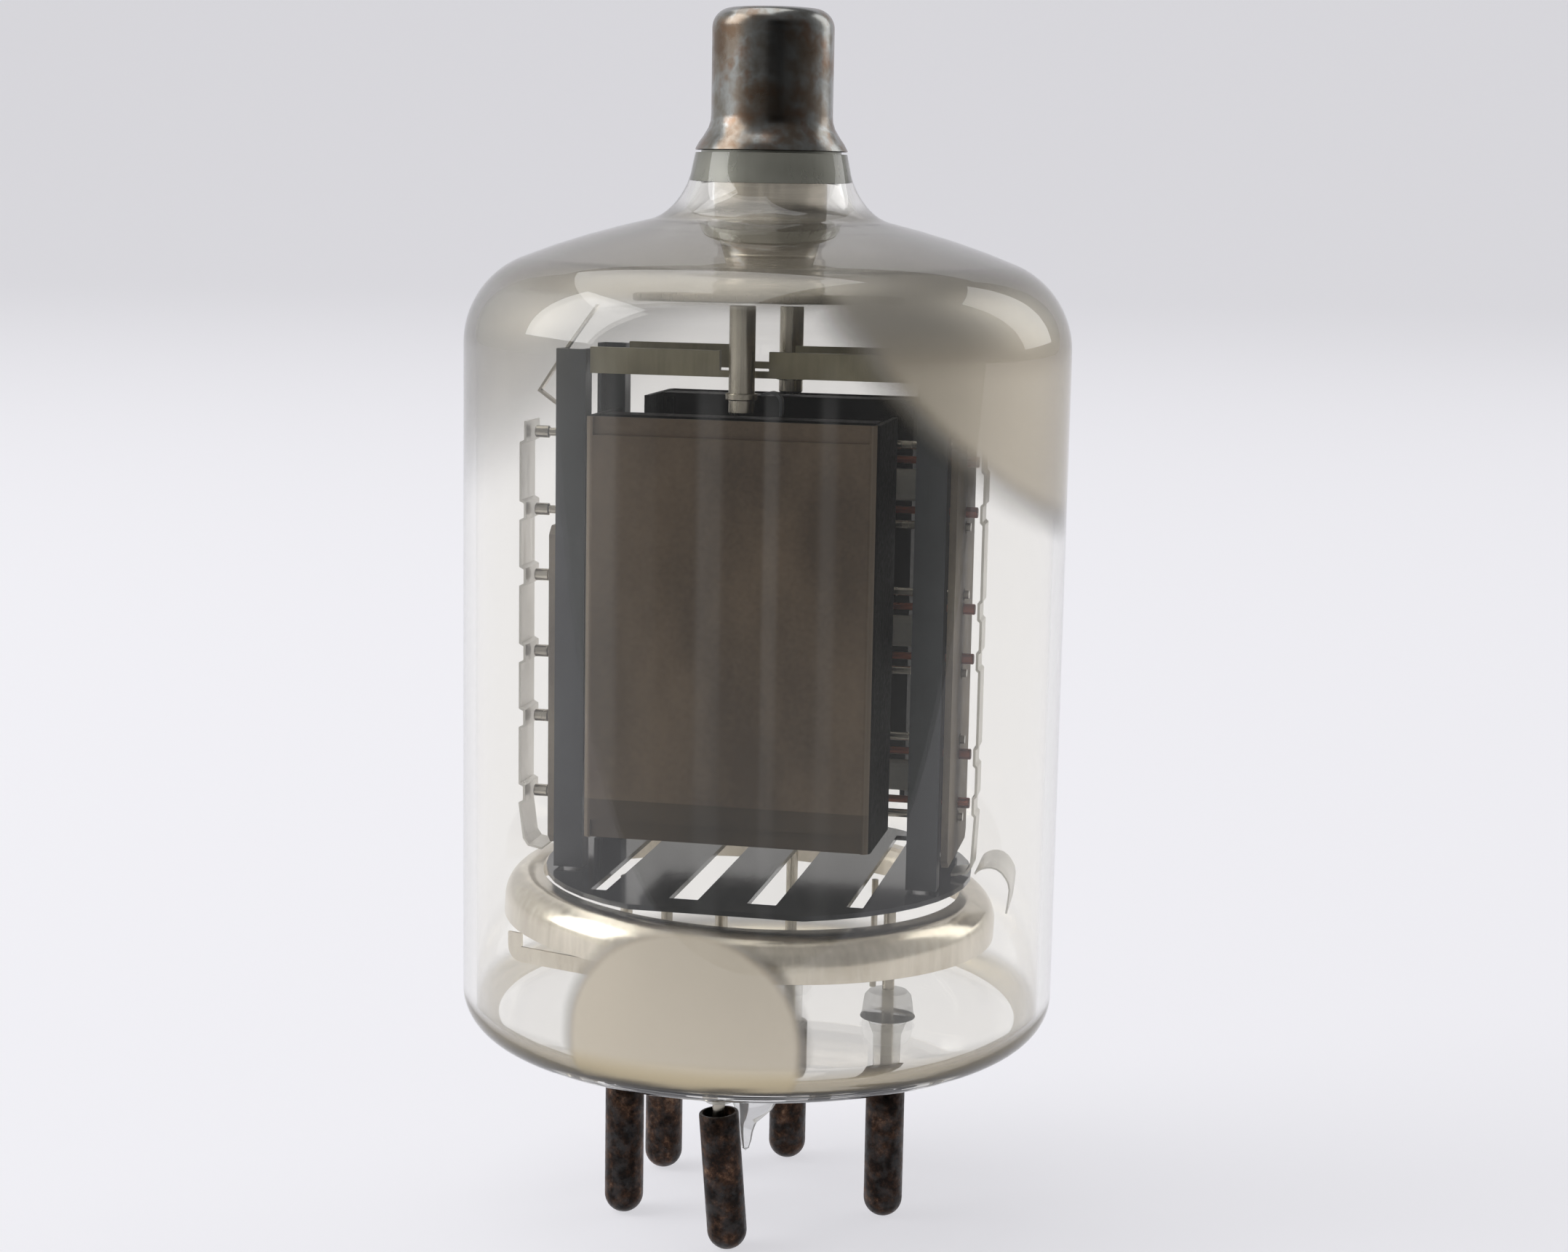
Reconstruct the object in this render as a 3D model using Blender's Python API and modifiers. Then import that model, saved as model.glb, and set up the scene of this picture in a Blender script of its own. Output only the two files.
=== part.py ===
"""All-glass power tetrode: bulb, stem, five base pins, top anode cap and the electrodes inside.

Metres, +Z up. The tube stands on its pins, with the origin on its axis at the level of the pin tips.
U and V are the electrodes' own directions: U runs along the grids, V goes from the front anode to
the rear one. Both lie in the electrode frame, which is turned a little about the tube's axis.
"""
from math import asin, atan2, cos, degrees, pi, radians, sin, tan

import bmesh
import bpy
from mathutils import Vector

MM = 0.001
GAP = 0.3 * MM               # clearance between a piece and the one that it rests on or passes through

# Heights that the other pieces follow
BULB_BOTTOM = 23.5 * MM      # the outer glass bottom above the pin tips
PLATE_TOP = BULB_BOTTOM + 20.2 * MM
POST_HEIGHT = 62.7 * MM
POST_TOP = PLATE_TOP + POST_HEIGHT

# Glass envelope
BULB_RADIUS = 36.2 * MM
BULB_WALL = 1.5 * MM
BULB_CORNER = 5.0 * MM       # outer rounding between wall and bottom
SHOULDER_HEIGHT = POST_TOP + 0.4 * MM   # where the straight wall ends and the shoulder begins
SHOULDER_ROUND = 11.0 * MM
SHOULDER_END = radians(22)   # slope at which the shoulder runs into the shallow bow
BOW_ROUND = 92.0 * MM
NECK_RADIUS = 9.0 * MM
NECK_FILLET = 6.3 * MM
NECK_STRAIGHT = 1.65 * MM
BOW_CENTRE = (BULB_RADIUS - SHOULDER_ROUND - (BOW_ROUND - SHOULDER_ROUND) * sin(SHOULDER_END),
              SHOULDER_HEIGHT - (BOW_ROUND - SHOULDER_ROUND) * cos(SHOULDER_END))
BOW_END = asin((NECK_RADIUS + NECK_FILLET - BOW_CENTRE[0]) / (BOW_ROUND + NECK_FILLET))
FILLET_HEIGHT = BOW_CENTRE[1] + (BOW_ROUND + NECK_FILLET) * cos(BOW_END)
NECK_TOP = FILLET_HEIGHT + NECK_STRAIGHT
STEM_RADIUS = BULB_RADIUS - 9.2 * MM
STEM_THICK = 2.2 * MM
BOSS_RADIUS = 2.9 * MM
BOSS_HEIGHT = 3.4 * MM
NUB_RADIUS = 1.6 * MM
NUB_LENGTH = 9.5 * MM
LOOSE_NUB_LENGTH = 5.2 * MM
TIP_RADIUS = 3.0 * MM
TIP_LENGTH = BULB_BOTTOM - 6.1 * MM

# Base pins and lead rods
PIN_RADIUS = 2.375 * MM
PIN_WALL = 0.4 * MM
PIN_LENGTH = BULB_BOTTOM - 6.5 * MM
PIN_CIRCLE = STEM_RADIUS - 10.4 * MM
PIN_ANGLES = {"front": -15, "left_front": -75, "left_rear": -135, "rear": 165, "right": 75}
LOOSE_PIN = "front"
LOOSE_PIN_LEAN = radians(4.7)
LEAD_RADIUS = 0.75 * MM
LEAD_IN_PIN = 12.0 * MM      # how far a lead reaches down into its pin
THIN_LEAD_RADIUS = 0.4 * MM
THIN_LEAD_OFFSET = 1.9 * MM

# Anode cap, its seal and the pieces that hang the anodes
CAP_RADIUS = 7.19 * MM
CAP_TOP = NECK_TOP + 16.9 * MM
CAP_ROUND = 2.2 * MM
CAP_WALL = 0.55 * MM
CAP_FLARE_HEIGHT = 3.6 * MM
CAP_RIM_RADIUS = 9.03 * MM
FEATHER_LENGTH = 3.7 * MM    # thin edge of the cap that reaches down inside the glass neck
FEATHER_WALL = 0.2 * MM
STUB_TOP = NECK_TOP + 2.1 * MM
STUB_RADIUS = 6.7 * MM
STUB_GROOVE = 0.5 * MM
DISC_RADIUS = 16.2 * MM
DISC_THICK = 1.3 * MM
DISC_BOTTOM = NECK_TOP - 16.6 * MM
HANG_ROD_RADIUS = 1.5 * MM
HANG_ROD_SPREAD = 14.1 * MM  # distance of each hanging rod from the tube's axis
HANG_ROD_COLLAR = 1.85 * MM

# Ring and cage: posts, side plates and top bars on the base plate
RING_RADIUS = BULB_RADIUS - 6.1 * MM
RING_BOTTOM = PLATE_TOP - 6.7 * MM
RING_HEIGHT = 5.2 * MM
RING_ROUND = 3.0 * MM
RING_LIP = 1.2 * MM
RING_SHEET = 0.5 * MM
RING_SEAM = 0.4 * MM
RING_SEAM_ANGLE = radians(-61)
RING_SHIFT = -1.1 * MM       # the ring sits off the axis and hangs lower on the right
RING_TILT = radians(2.3)
PLATE_THICK = 0.6 * MM
PLATE_RADIUS = RING_RADIUS - 4.0 * MM
PLATE_FRONT = PLATE_RADIUS - 2.1 * MM   # the plate's front and rear are cut straight here
POST_OUTER = RING_RADIUS - 6.8 * MM
POST_WIDTH = 3.6 * MM
POST_DEPTH = 2.6 * MM
POST_FACE = 10.0 * MM        # distance of the posts' outer faces from the axis along V
OUTER_SLOT = (POST_OUTER - 8.1 * MM, 1.9 * MM)   # distance from the axis and width
INNER_SLOT = (4.6 * MM, 3.4 * MM)
SLOT_HALF_LENGTH = 20.0 * MM
TOOL_HOLE = (POST_OUTER - 3.0 * MM, POST_FACE - 3.3 * MM, 0.6 * MM)
SHEET = 0.5 * MM
SIDE_PLATE_THICK = 0.8 * MM
SIDE_PLATE_CORNER = 1.0 * MM
SIDE_PLATE_HALF_WIDTH = 9.0 * MM
SIDE_PLATE_BOTTOM = PLATE_TOP + 2.8 * MM
BAR_HEIGHT = 3.1 * MM
BAR_NOTCHES = {"front": (-3.8 * MM, 2.1 * MM), "rear": (-5.0 * MM, 1.7 * MM)}

# Anode halves
ANODE_HALF_WIDTH = POST_OUTER - POST_WIDTH - 2.8 * MM
ANODE_TOPS = {"front": POST_TOP - 7.0 * MM, "rear": POST_TOP - 6.4 * MM}
ANODE_HEIGHT = POST_HEIGHT - 13.6 * MM
ANODE_FACE = 19.8 * MM       # distance of each anode's face from the axis
ANODE_DEPTH = 13.5 * MM
ANODE_SHEET = 0.6 * MM
ANODE_BEND = 1.0 * MM
ANODE_LIP = 2.1 * MM         # folded-back strip along the top and bottom edges
ANODE_LIP_STEP = 0.3 * MM
HANGER_DROP = 3.0 * MM

# Three electrode units, one above another, between the anode's ends
UNIT_MARGIN = 6.95 * MM
UNIT_MIDDLE = ANODE_TOPS["front"] - ANODE_HEIGHT / 2 - 1.55 * MM
UNIT_PITCH = (ANODE_HEIGHT - 2 * UNIT_MARGIN) / 2
UNIT_HEIGHTS = [UNIT_MIDDLE + row * UNIT_PITCH for row in (1, 0, -1)]
SCREEN_ROD_SPREAD = 4.75 * MM
SCREEN_ROD_RADIUS = 0.5 * MM
SCREEN_HALF_THICK = 2.3 * MM
SIDE_PLATE_TOPS = {"left": UNIT_HEIGHTS[0] - SCREEN_ROD_SPREAD - 0.95 * MM,
                   "right": UNIT_HEIGHTS[0] + SCREEN_ROD_SPREAD + 1.55 * MM}
CONTROL_ROD_SPREAD = 3.0 * MM
CONTROL_ROD_RADIUS = 0.45 * MM
CONTROL_HALF_THICK = 1.45 * MM
FERRULE_LENGTH = 1.7 * MM
FERRULE_RADIUS = 0.75 * MM
SLEEVE_LENGTH = 1.4 * MM
SLEEVE_RADIUS = 0.65 * MM
WINDING_HALF_LENGTH = ANODE_HALF_WIDTH - 1.3 * MM
WINDING_PITCH = 4.4 * MM
WINDING_WIRE = 0.13 * MM
CATHODE_HALF_LENGTH = POST_OUTER - 4.3 * MM
CATHODE_HALF_HEIGHT = 1.9 * MM
CATHODE_HALF_THICK = 0.8 * MM
CATHODE_WALL = 0.25 * MM
HEATER_WIRE = 0.2 * MM
CLIP_HEIGHT = 5.2 * MM       # dark clips that hold the cathodes' left ends
CLIP_WIDTH = 3.0 * MM
SCREEN_STRAP = RING_RADIUS - 0.5 * MM   # distance of the left strap from the axis at the rod ends
SCREEN_STRAP_WIDTH = 5.3 * MM
SCREEN_STRAP_JOG = 0.6 * MM  # how far the strap steps outwards between two rods
CONTROL_STRAP = POST_OUTER + 3.1 * MM
CONTROL_STRAP_WIDTH = 4.0 * MM
CONTROL_STRAP_JOG = 0.3 * MM
STRAP_STEP = 0.3 * MM        # height over which a strap makes each of these steps
STRAP_BEND = 1.2 * MM
STRAP_SHEET = 0.3 * MM

# Bulb spacer and getters
SPRING_REACH = BULB_RADIUS - 5.0 * MM
SPRING_FOOT = PLATE_TOP + 1.4 * MM
SPRING_WIDTH = 9.0 * MM
SPRING_SHEET = 0.25 * MM
GETTER_STRIP_WIDTH = 1.0 * MM
GETTER_STRIP_FOOT = POST_TOP - 7.2 * MM
GETTER_STRIP_ELBOW = 3.3 * MM    # how far the strip reaches out past its post
GETTER_STRIP_RISE = 12.9 * MM
GETTER_STRIP_RUN = 7.2 * MM      # how far its upper end leans back in over the cage
GETTER_CUP_RADIUS = 3.6 * MM
GETTER_CUP_DEPTH = 1.6 * MM
GETTER_CUP_ANGLE = radians(-16)
GETTER_BRACKET_ANGLE = radians(-67)
GETTER_BRACKET_WIDTH = 1.9 * MM
GETTER_BRACKET_DROP = 2.6 * MM   # from the ring's lower edge to the middle of the level arm

ELECTRODE_TURN = radians(-12)
FACE_FRONT = (pi / 2, 0, 0)        # lays a flat outline's X along U and its Y along Z
FACE_SIDE = (pi / 2, 0, pi / 2)    # lays a flat outline's X along V and its Y along Z
FINE_STEPS = 32
ROUND_STEPS = 24
ROD_STEPS = 10

for old in list(bpy.data.objects):
    bpy.data.objects.remove(old)

parts = bpy.data.collections.new("vacuum_tube")
cutters = bpy.data.collections.new("cutters")
for collection in (parts, cutters):
    bpy.context.scene.collection.children.link(collection)

frame = bpy.data.objects.new("electrode_frame", None)
frame.rotation_euler = (0, 0, ELECTRODE_TURN)
parts.objects.link(frame)


def material(name, colour, roughness, metallic=0.0, transmission=0.0):
    made = bpy.data.materials.new(name)
    made.use_nodes = True
    shader = made.node_tree.nodes["Principled BSDF"]
    shader.inputs["Base Color"].default_value = (*colour, 1)
    shader.inputs["Roughness"].default_value = roughness
    shader.inputs["Metallic"].default_value = metallic
    shader.inputs["Transmission Weight"].default_value = transmission
    made.diffuse_color = (*colour, 1)
    return made


GLASS = material("clear_glass", (0.93, 0.95, 0.94), 0.02, 0.0, 1.0)
PIN_METAL = material("corroded_pin_brass", (0.07, 0.045, 0.03), 0.6, 0.6)
CAP_METAL = material("tarnished_nickel", (0.33, 0.31, 0.27), 0.35, 1.0)
NICKEL = material("bright_nickel", (0.66, 0.63, 0.57), 0.2, 1.0)
ANODE_METAL = material("carbonised_nickel", (0.10, 0.085, 0.075), 0.75, 0.2)
CAGE_METAL = material("blackened_steel", (0.045, 0.05, 0.06), 0.45, 0.6)
BAR_METAL = material("dull_nickel", (0.35, 0.34, 0.29), 0.45, 0.9)
MICA = material("sprayed_mica", (0.20, 0.16, 0.12), 0.7)
COPPER = material("grid_copper", (0.45, 0.20, 0.12), 0.35, 1.0)
OXIDE = material("cathode_oxide", (0.75, 0.74, 0.70), 0.9)
TUNGSTEN = material("coated_tungsten", (0.60, 0.60, 0.58), 0.8)


def add_part(name, data, finish, parent=None, location=(0, 0, 0), rotation=(0, 0, 0)):
    made = bpy.data.objects.new(name, data)
    made.location = location
    made.rotation_euler = rotation
    made.parent = parent
    if not data.materials:
        data.materials.append(finish)
    parts.objects.link(made)
    return made


def as_cutter(piece):
    parts.objects.unlink(piece)
    cutters.objects.link(piece)
    piece.hide_render = True
    piece.display_type = "WIRE"
    return piece


def boolean(piece, other, operation):
    change = piece.modifiers.new(operation.lower(), "BOOLEAN")
    change.operation = operation
    change.solver = "EXACT"
    change.object = other


def arc(centre, radius, start, end, steps):
    """Points from start to end, in degrees, about a centre in the outline's own plane."""
    angles = [radians(start + (end - start) * step / steps) for step in range(steps + 1)]
    return [(centre[0] + radius * cos(a), centre[1] + radius * sin(a)) for a in angles]


def turned(name, profile, finish, parent=None, location=(0, 0, 0), rotation=(0, 0, 0),
           steps=ROUND_STEPS, closed=False):
    """Spin (radius, height) points, listed down the outer side, about the piece's own Z."""
    mesh = bpy.data.meshes.new(name)
    count = len(profile)
    edges = [(i, (i + 1) % count) for i in range(count if closed else count - 1)]
    mesh.from_pydata([(r, 0, z) for r, z in profile], edges, [])
    made = add_part(name, mesh, finish, parent, location, rotation)
    spin = made.modifiers.new("spin", "SCREW")
    spin.steps = spin.render_steps = steps
    spin.use_merge_vertices = True
    spin.merge_threshold = 0.01 * MM
    spin.use_smooth_shade = True
    return made


def flat(name, outlines, thickness, finish, parent=frame, location=(0, 0, 0), rotation=(0, 0, 0)):
    """A sheet cut to the first outline, with each further outline as a hole."""
    curve = bpy.data.curves.new(name, "CURVE")
    curve.dimensions = "2D"
    curve.fill_mode = "BOTH"
    curve.extrude = thickness / 2
    for outline in outlines:
        spline = curve.splines.new("POLY")
        spline.points.add(len(outline) - 1)
        for point, (x, y) in zip(spline.points, outline):
            point.co = (x, y, 0, 1)
        spline.use_cyclic_u = True
    return add_part(name, curve, finish, parent, location, rotation)


def ribbon(name, line, width, thickness, finish, parent=frame, location=(0, 0, 0),
           rotation=FACE_FRONT):
    """A strip bent along an open line through its thickness, and as wide as given across it."""
    mesh = bpy.data.meshes.new(name)
    shape = bmesh.new()
    points = [shape.verts.new((x, y, -width / 2)) for x, y in line]
    edges = [shape.edges.new(pair) for pair in zip(points, points[1:])]
    swept = bmesh.ops.extrude_edge_only(shape, edges=edges)["geom"]
    moved = [item for item in swept if isinstance(item, bmesh.types.BMVert)]
    bmesh.ops.translate(shape, verts=moved, vec=(0, 0, width))
    shape.to_mesh(mesh)
    shape.free()
    made = add_part(name, mesh, finish, parent, location, rotation)
    wall = made.modifiers.new("sheet", "SOLIDIFY")
    wall.thickness = thickness
    wall.offset = 0
    wall.use_even_offset = True
    return made


def wire(name, points, radius, finish, parent=frame, detail=2):
    curve = bpy.data.curves.new(name, "CURVE")
    curve.dimensions = "3D"
    curve.bevel_depth = radius
    curve.bevel_resolution = detail
    curve.use_fill_caps = True
    spline = curve.splines.new("POLY")
    spline.points.add(len(points) - 1)
    for point, place in zip(spline.points, points):
        point.co = (*place, 1)
    return add_part(name, curve, finish, parent)


def made_mesh(curve_piece):
    """Turn a wire into a mesh with welded caps, so that it can be joined to other solids."""
    bpy.context.view_layer.update()
    evaluated = curve_piece.evaluated_get(bpy.context.evaluated_depsgraph_get())
    mesh = bpy.data.meshes.new_from_object(evaluated)
    shape = bmesh.new()
    shape.from_mesh(mesh)
    bmesh.ops.remove_doubles(shape, verts=shape.verts, dist=0.001 * MM)
    bmesh.ops.recalc_face_normals(shape, faces=shape.faces)
    shape.to_mesh(mesh)
    shape.free()
    name, parent, place = curve_piece.name, curve_piece.parent, curve_piece.matrix_world.copy()
    bpy.data.objects.remove(curve_piece)
    made = bpy.data.objects.new(name, mesh)
    made.parent = parent
    made.matrix_world = place
    parts.objects.link(made)
    return made


def circle(centre, radius, steps=ROD_STEPS):
    return arc(centre, radius, 0, 360, steps)[:-1]


def stadium(half_width, half_height, steps=6):
    """An upright slot outline with round ends, centred on the origin."""
    straight = half_height - half_width
    upper = arc((0, straight), half_width, 0, 180, steps)
    return upper + arc((0, -straight), half_width, 180, 360, steps)


def bulb_profile(inset):
    """Half section of the glass from the neck down to the stem's edge, moved inwards by inset."""
    shoulder = (BULB_RADIUS - SHOULDER_ROUND, SHOULDER_HEIGHT)
    fillet = (NECK_RADIUS + NECK_FILLET, FILLET_HEIGHT)
    low, high = degrees(SHOULDER_END), degrees(BOW_END)
    points = [(NECK_RADIUS - inset, NECK_TOP)]
    points += arc(fillet, NECK_FILLET + inset, 180, 270 - high, 4)
    points += arc(BOW_CENTRE, BOW_ROUND - inset, 90 - high, 90 - low, 3)[1:]
    points += arc(shoulder, SHOULDER_ROUND - inset, 90 - low, 0, 5)[1:]
    corner = BULB_BOTTOM + BULB_CORNER
    points += arc((BULB_RADIUS - BULB_CORNER, corner), BULB_CORNER - inset, 0, -90, 4)
    points += [(STEM_RADIUS + GAP, BULB_BOTTOM + inset)]
    return points


def glass_bulb():
    outside = bulb_profile(0)
    inside = bulb_profile(BULB_WALL)
    turned("glass_bulb", outside + inside[::-1], GLASS, steps=FINE_STEPS, closed=True)


def pin_place(pin):
    angle = radians(PIN_ANGLES[pin])
    return PIN_CIRCLE * sin(angle), -PIN_CIRCLE * cos(angle)


def glass_stem():
    """The pressed glass base: a disc with the sealed-off exhaust tip, and a boss round each lead."""
    top = BULB_BOTTOM + STEM_THICK
    tip = BULB_BOTTOM
    profile = [(0, top), (STEM_RADIUS, top), (STEM_RADIUS, tip), (TIP_RADIUS * 1.5, tip),
               (TIP_RADIUS, tip - 1.2 * MM), (TIP_RADIUS * 0.85, tip - 0.55 * TIP_LENGTH),
               (TIP_RADIUS * 0.5, tip - 0.68 * TIP_LENGTH), (TIP_RADIUS * 0.25, tip - 0.8 * TIP_LENGTH),
               (0, tip - TIP_LENGTH)]
    stem = turned("glass_stem", profile, GLASS, steps=FINE_STEPS)
    for pin in PIN_ANGLES:
        place = pin_place(pin)
        nub = LOOSE_NUB_LENGTH if pin == LOOSE_PIN else NUB_LENGTH
        boss_top = top + BOSS_HEIGHT
        boss_profile = [(0, boss_top), (BOSS_RADIUS * 0.6, boss_top),
                        (BOSS_RADIUS * 0.9, boss_top - 0.9 * MM), (BOSS_RADIUS, top + 1.4 * MM),
                        (BOSS_RADIUS * 1.2, top - 0.3 * STEM_THICK),
                        (NUB_RADIUS * 1.5, BULB_BOTTOM + 0.3 * STEM_THICK),
                        (NUB_RADIUS, BULB_BOTTOM - 2.0 * MM),
                        (NUB_RADIUS, BULB_BOTTOM - nub), (0, BULB_BOTTOM - nub)]
        boss = turned("boss_" + pin, boss_profile, GLASS, location=(*place, 0), steps=16)
        boolean(stem, as_cutter(boss), "UNION")
    for pin in PIN_ANGLES:
        through = [(0, 2 * top), (LEAD_RADIUS + GAP, 2 * top), (LEAD_RADIUS + GAP, 0), (0, 0)]
        hole = turned("lead_hole_" + pin, through, GLASS, location=(*pin_place(pin), 0), steps=ROD_STEPS)
        boolean(stem, as_cutter(hole), "DIFFERENCE")


def contact_pins():
    """Five hollow pins with round tips. The front one has come loose and leans."""
    bore = PIN_RADIUS - PIN_WALL
    profile = [(bore, PIN_LENGTH), (PIN_RADIUS, PIN_LENGTH)]
    profile += arc((0, PIN_RADIUS), PIN_RADIUS, 0, -90, 5)
    profile += [(0, PIN_WALL)]
    profile += arc((0, PIN_RADIUS), bore, -90, 0, 4)[1:]
    for pin in PIN_ANGLES:
        x, y = pin_place(pin)
        lean = -LOOSE_PIN_LEAN if pin == LOOSE_PIN else 0
        x -= PIN_LENGTH * sin(lean)
        lift = PIN_RADIUS * (1 - cos(lean))
        turned("contact_pin_" + pin, profile + profile[:1], PIN_METAL, location=(x, y, lift),
               rotation=(0, lean, 0), steps=16)


def lead_rods():
    """Each lead runs from inside its pin, through the glass, up to the underside of the base plate."""
    top = PLATE_TOP - PLATE_THICK - GAP
    for pin in PIN_ANGLES:
        x, y = pin_place(pin)
        low = PIN_LENGTH - LEAD_IN_PIN
        wire("lead_rod_" + pin, [(x, y, low), (x, y, top)], LEAD_RADIUS, NICKEL, parent=None)
    x, y = pin_place("right")
    foot = BULB_BOTTOM + STEM_THICK + BOSS_HEIGHT + GAP
    x -= THIN_LEAD_OFFSET
    wire("getter_lead", [(x, y, foot), (x, y, top)], THIN_LEAD_RADIUS, CAGE_METAL, parent=None)


def anode_cap():
    """A drawn thimble whose flared rim meets the neck and whose thin edge is sealed into the glass."""
    rim = NECK_TOP + GAP
    flare = rim + CAP_FLARE_HEIGHT
    feather = NECK_RADIUS - BULB_WALL - GAP
    bore = CAP_RADIUS - CAP_WALL
    profile = [(0, CAP_TOP)]
    profile += arc((CAP_RADIUS - CAP_ROUND, CAP_TOP - CAP_ROUND), CAP_ROUND, 90, 0, 5)
    profile += [(CAP_RADIUS, flare), (CAP_RADIUS + 0.35 * (CAP_RIM_RADIUS - CAP_RADIUS), flare - 1.6 * MM),
                (CAP_RIM_RADIUS, rim), (feather, rim), (feather, rim - FEATHER_LENGTH),
                (feather - FEATHER_WALL, rim - FEATHER_LENGTH), (feather - FEATHER_WALL, rim + 1.0 * MM),
                (bore, flare), (bore, CAP_TOP - CAP_ROUND), (bore - 1.4 * MM, CAP_TOP - CAP_WALL),
                (0, CAP_TOP - CAP_WALL)]
    turned("anode_cap", profile, CAP_METAL, steps=32)


def anode_stub():
    """The round stud under the cap, with a groove round its foot, that the disc hangs from."""
    foot = DISC_BOTTOM + DISC_THICK + GAP
    groove = foot + 3.0 * MM
    waist = STUB_RADIUS - STUB_GROOVE
    head = STUB_RADIUS - 2 * GAP
    profile = [(0, STUB_TOP), (head, STUB_TOP), (head, STUB_TOP - 4.0 * MM),
               (STUB_RADIUS, STUB_TOP - 4.6 * MM),
               (STUB_RADIUS, groove + 1.2 * MM), (waist, groove + 0.7 * MM), (waist, groove),
               (STUB_RADIUS, groove - 0.5 * MM), (STUB_RADIUS, foot + STUB_GROOVE),
               (waist, foot), (0, foot)]
    turned("anode_stub", profile, NICKEL, steps=FINE_STEPS)


def anode_disc():
    edge = DISC_THICK / 3
    top = DISC_BOTTOM + DISC_THICK
    profile = [(0, top), (DISC_RADIUS - edge, top), (DISC_RADIUS, top - edge),
               (DISC_RADIUS, DISC_BOTTOM + edge), (DISC_RADIUS - edge, DISC_BOTTOM), (0, DISC_BOTTOM)]
    turned("anode_disc", profile, NICKEL, steps=FINE_STEPS)


def hanging_rods():
    """Two rods under the disc, each with a collar, standing on a strip inside its anode half."""
    top = DISC_BOTTOM - GAP
    half = ANODE_HALF_WIDTH - ANODE_SHEET - GAP - SHEET / 2
    for side, name in ((-1, "front"), (1, "rear")):
        level = ANODE_TOPS[name]
        low = level + GAP
        collar = low + 1.7 * MM
        profile = [(0, top), (HANG_ROD_RADIUS, top), (HANG_ROD_RADIUS, collar + 0.7 * MM),
                   (HANG_ROD_COLLAR, collar + 0.7 * MM), (HANG_ROD_COLLAR, collar),
                   (HANG_ROD_RADIUS, collar), (HANG_ROD_RADIUS, low + 0.3 * MM),
                   (HANG_ROD_RADIUS - 0.3 * MM, low), (0, low)]
        place = (0, side * HANG_ROD_SPREAD, 0)
        turned("anode_rod_" + name, profile, NICKEL, frame, place, steps=16)
        line = [(-half, level - HANGER_DROP), (-half, level - SHEET / 2),
                (half, level - SHEET / 2), (half, level - HANGER_DROP)]
        ribbon("anode_hanger_" + name, line, 2 * HANG_ROD_COLLAR, SHEET, ANODE_METAL, location=place)
    reach = HANG_ROD_COLLAR + GAP + SHEET / 2
    low = ANODE_TOPS["front"] + GAP
    level = low + 2.05 * MM
    line = [(reach, level + 0.3 * MM)] + arc((reach + 1.2 * MM, level - 0.5 * MM), 1.1 * MM, 90, 0, 4)
    line += [(reach + 2.3 * MM, low)]
    ribbon("anode_clip_front", line, 1.2 * MM, 0.35 * MM, CAGE_METAL, location=(0, -HANG_ROD_SPREAD, 0))


def anode_halves():
    """Two shallow boxes of folded sheet, open towards the grids, with a stepped strip at each edge."""
    mouth = ANODE_FACE - ANODE_DEPTH
    wide, face = ANODE_HALF_WIDTH - ANODE_SHEET / 2, ANODE_FACE - ANODE_SHEET / 2
    bend = ANODE_BEND - ANODE_SHEET / 2
    for side, name in ((-1, "front"), (1, "rear")):
        line = [(-wide, side * mouth)]
        line += arc((-wide + bend, side * (face - bend)), bend, 180, 180 - side * 90, 4)
        line += arc((wide - bend, side * (face - bend)), bend, side * 90, 0, 4)
        line += [(wide, side * mouth)]
        middle = ANODE_TOPS[name] - ANODE_HEIGHT / 2
        anode = ribbon("anode_" + name, line, ANODE_HEIGHT, ANODE_SHEET, ANODE_METAL,
                       location=(0, 0, middle), rotation=(0, 0, 0))
        steps = bmesh.new()
        for end in (-1, 1):
            made = bmesh.ops.create_cube(steps, size=1)["verts"]
            size = (2 * (ANODE_HALF_WIDTH - ANODE_BEND), 2 * ANODE_LIP_STEP, 2 * ANODE_LIP)
            bmesh.ops.scale(steps, verts=made, vec=size)
            place = (0, side * (ANODE_FACE), middle + end * ANODE_HEIGHT / 2)
            bmesh.ops.translate(steps, verts=made, vec=place)
        mesh = bpy.data.meshes.new("lip_step")
        steps.to_mesh(mesh)
        steps.free()
        boolean(anode, as_cutter(add_part("lip_step_" + name, mesh, ANODE_METAL, frame)), "DIFFERENCE")


def cage_posts():
    """Four channel posts that stand on the base plate, open towards the middle."""
    foot = PLATE_TOP + GAP
    outer, face = POST_OUTER - SHEET / 2, POST_FACE - SHEET / 2
    inner, back = POST_OUTER - POST_WIDTH + SHEET / 2, POST_FACE - POST_DEPTH
    for v_side, v_name in ((-1, "front"), (1, "rear")):
        for u_side, u_name in ((-1, "left"), (1, "right")):
            line = [(u_side * inner, v_side * back), (u_side * inner, v_side * face),
                    (u_side * outer, v_side * face), (u_side * outer, v_side * back)]
            ribbon("cage_post_%s_%s" % (v_name, u_name), line, POST_TOP - foot, SHEET, CAGE_METAL,
                   location=(0, 0, (POST_TOP + foot) / 2), rotation=(0, 0, 0))


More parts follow.
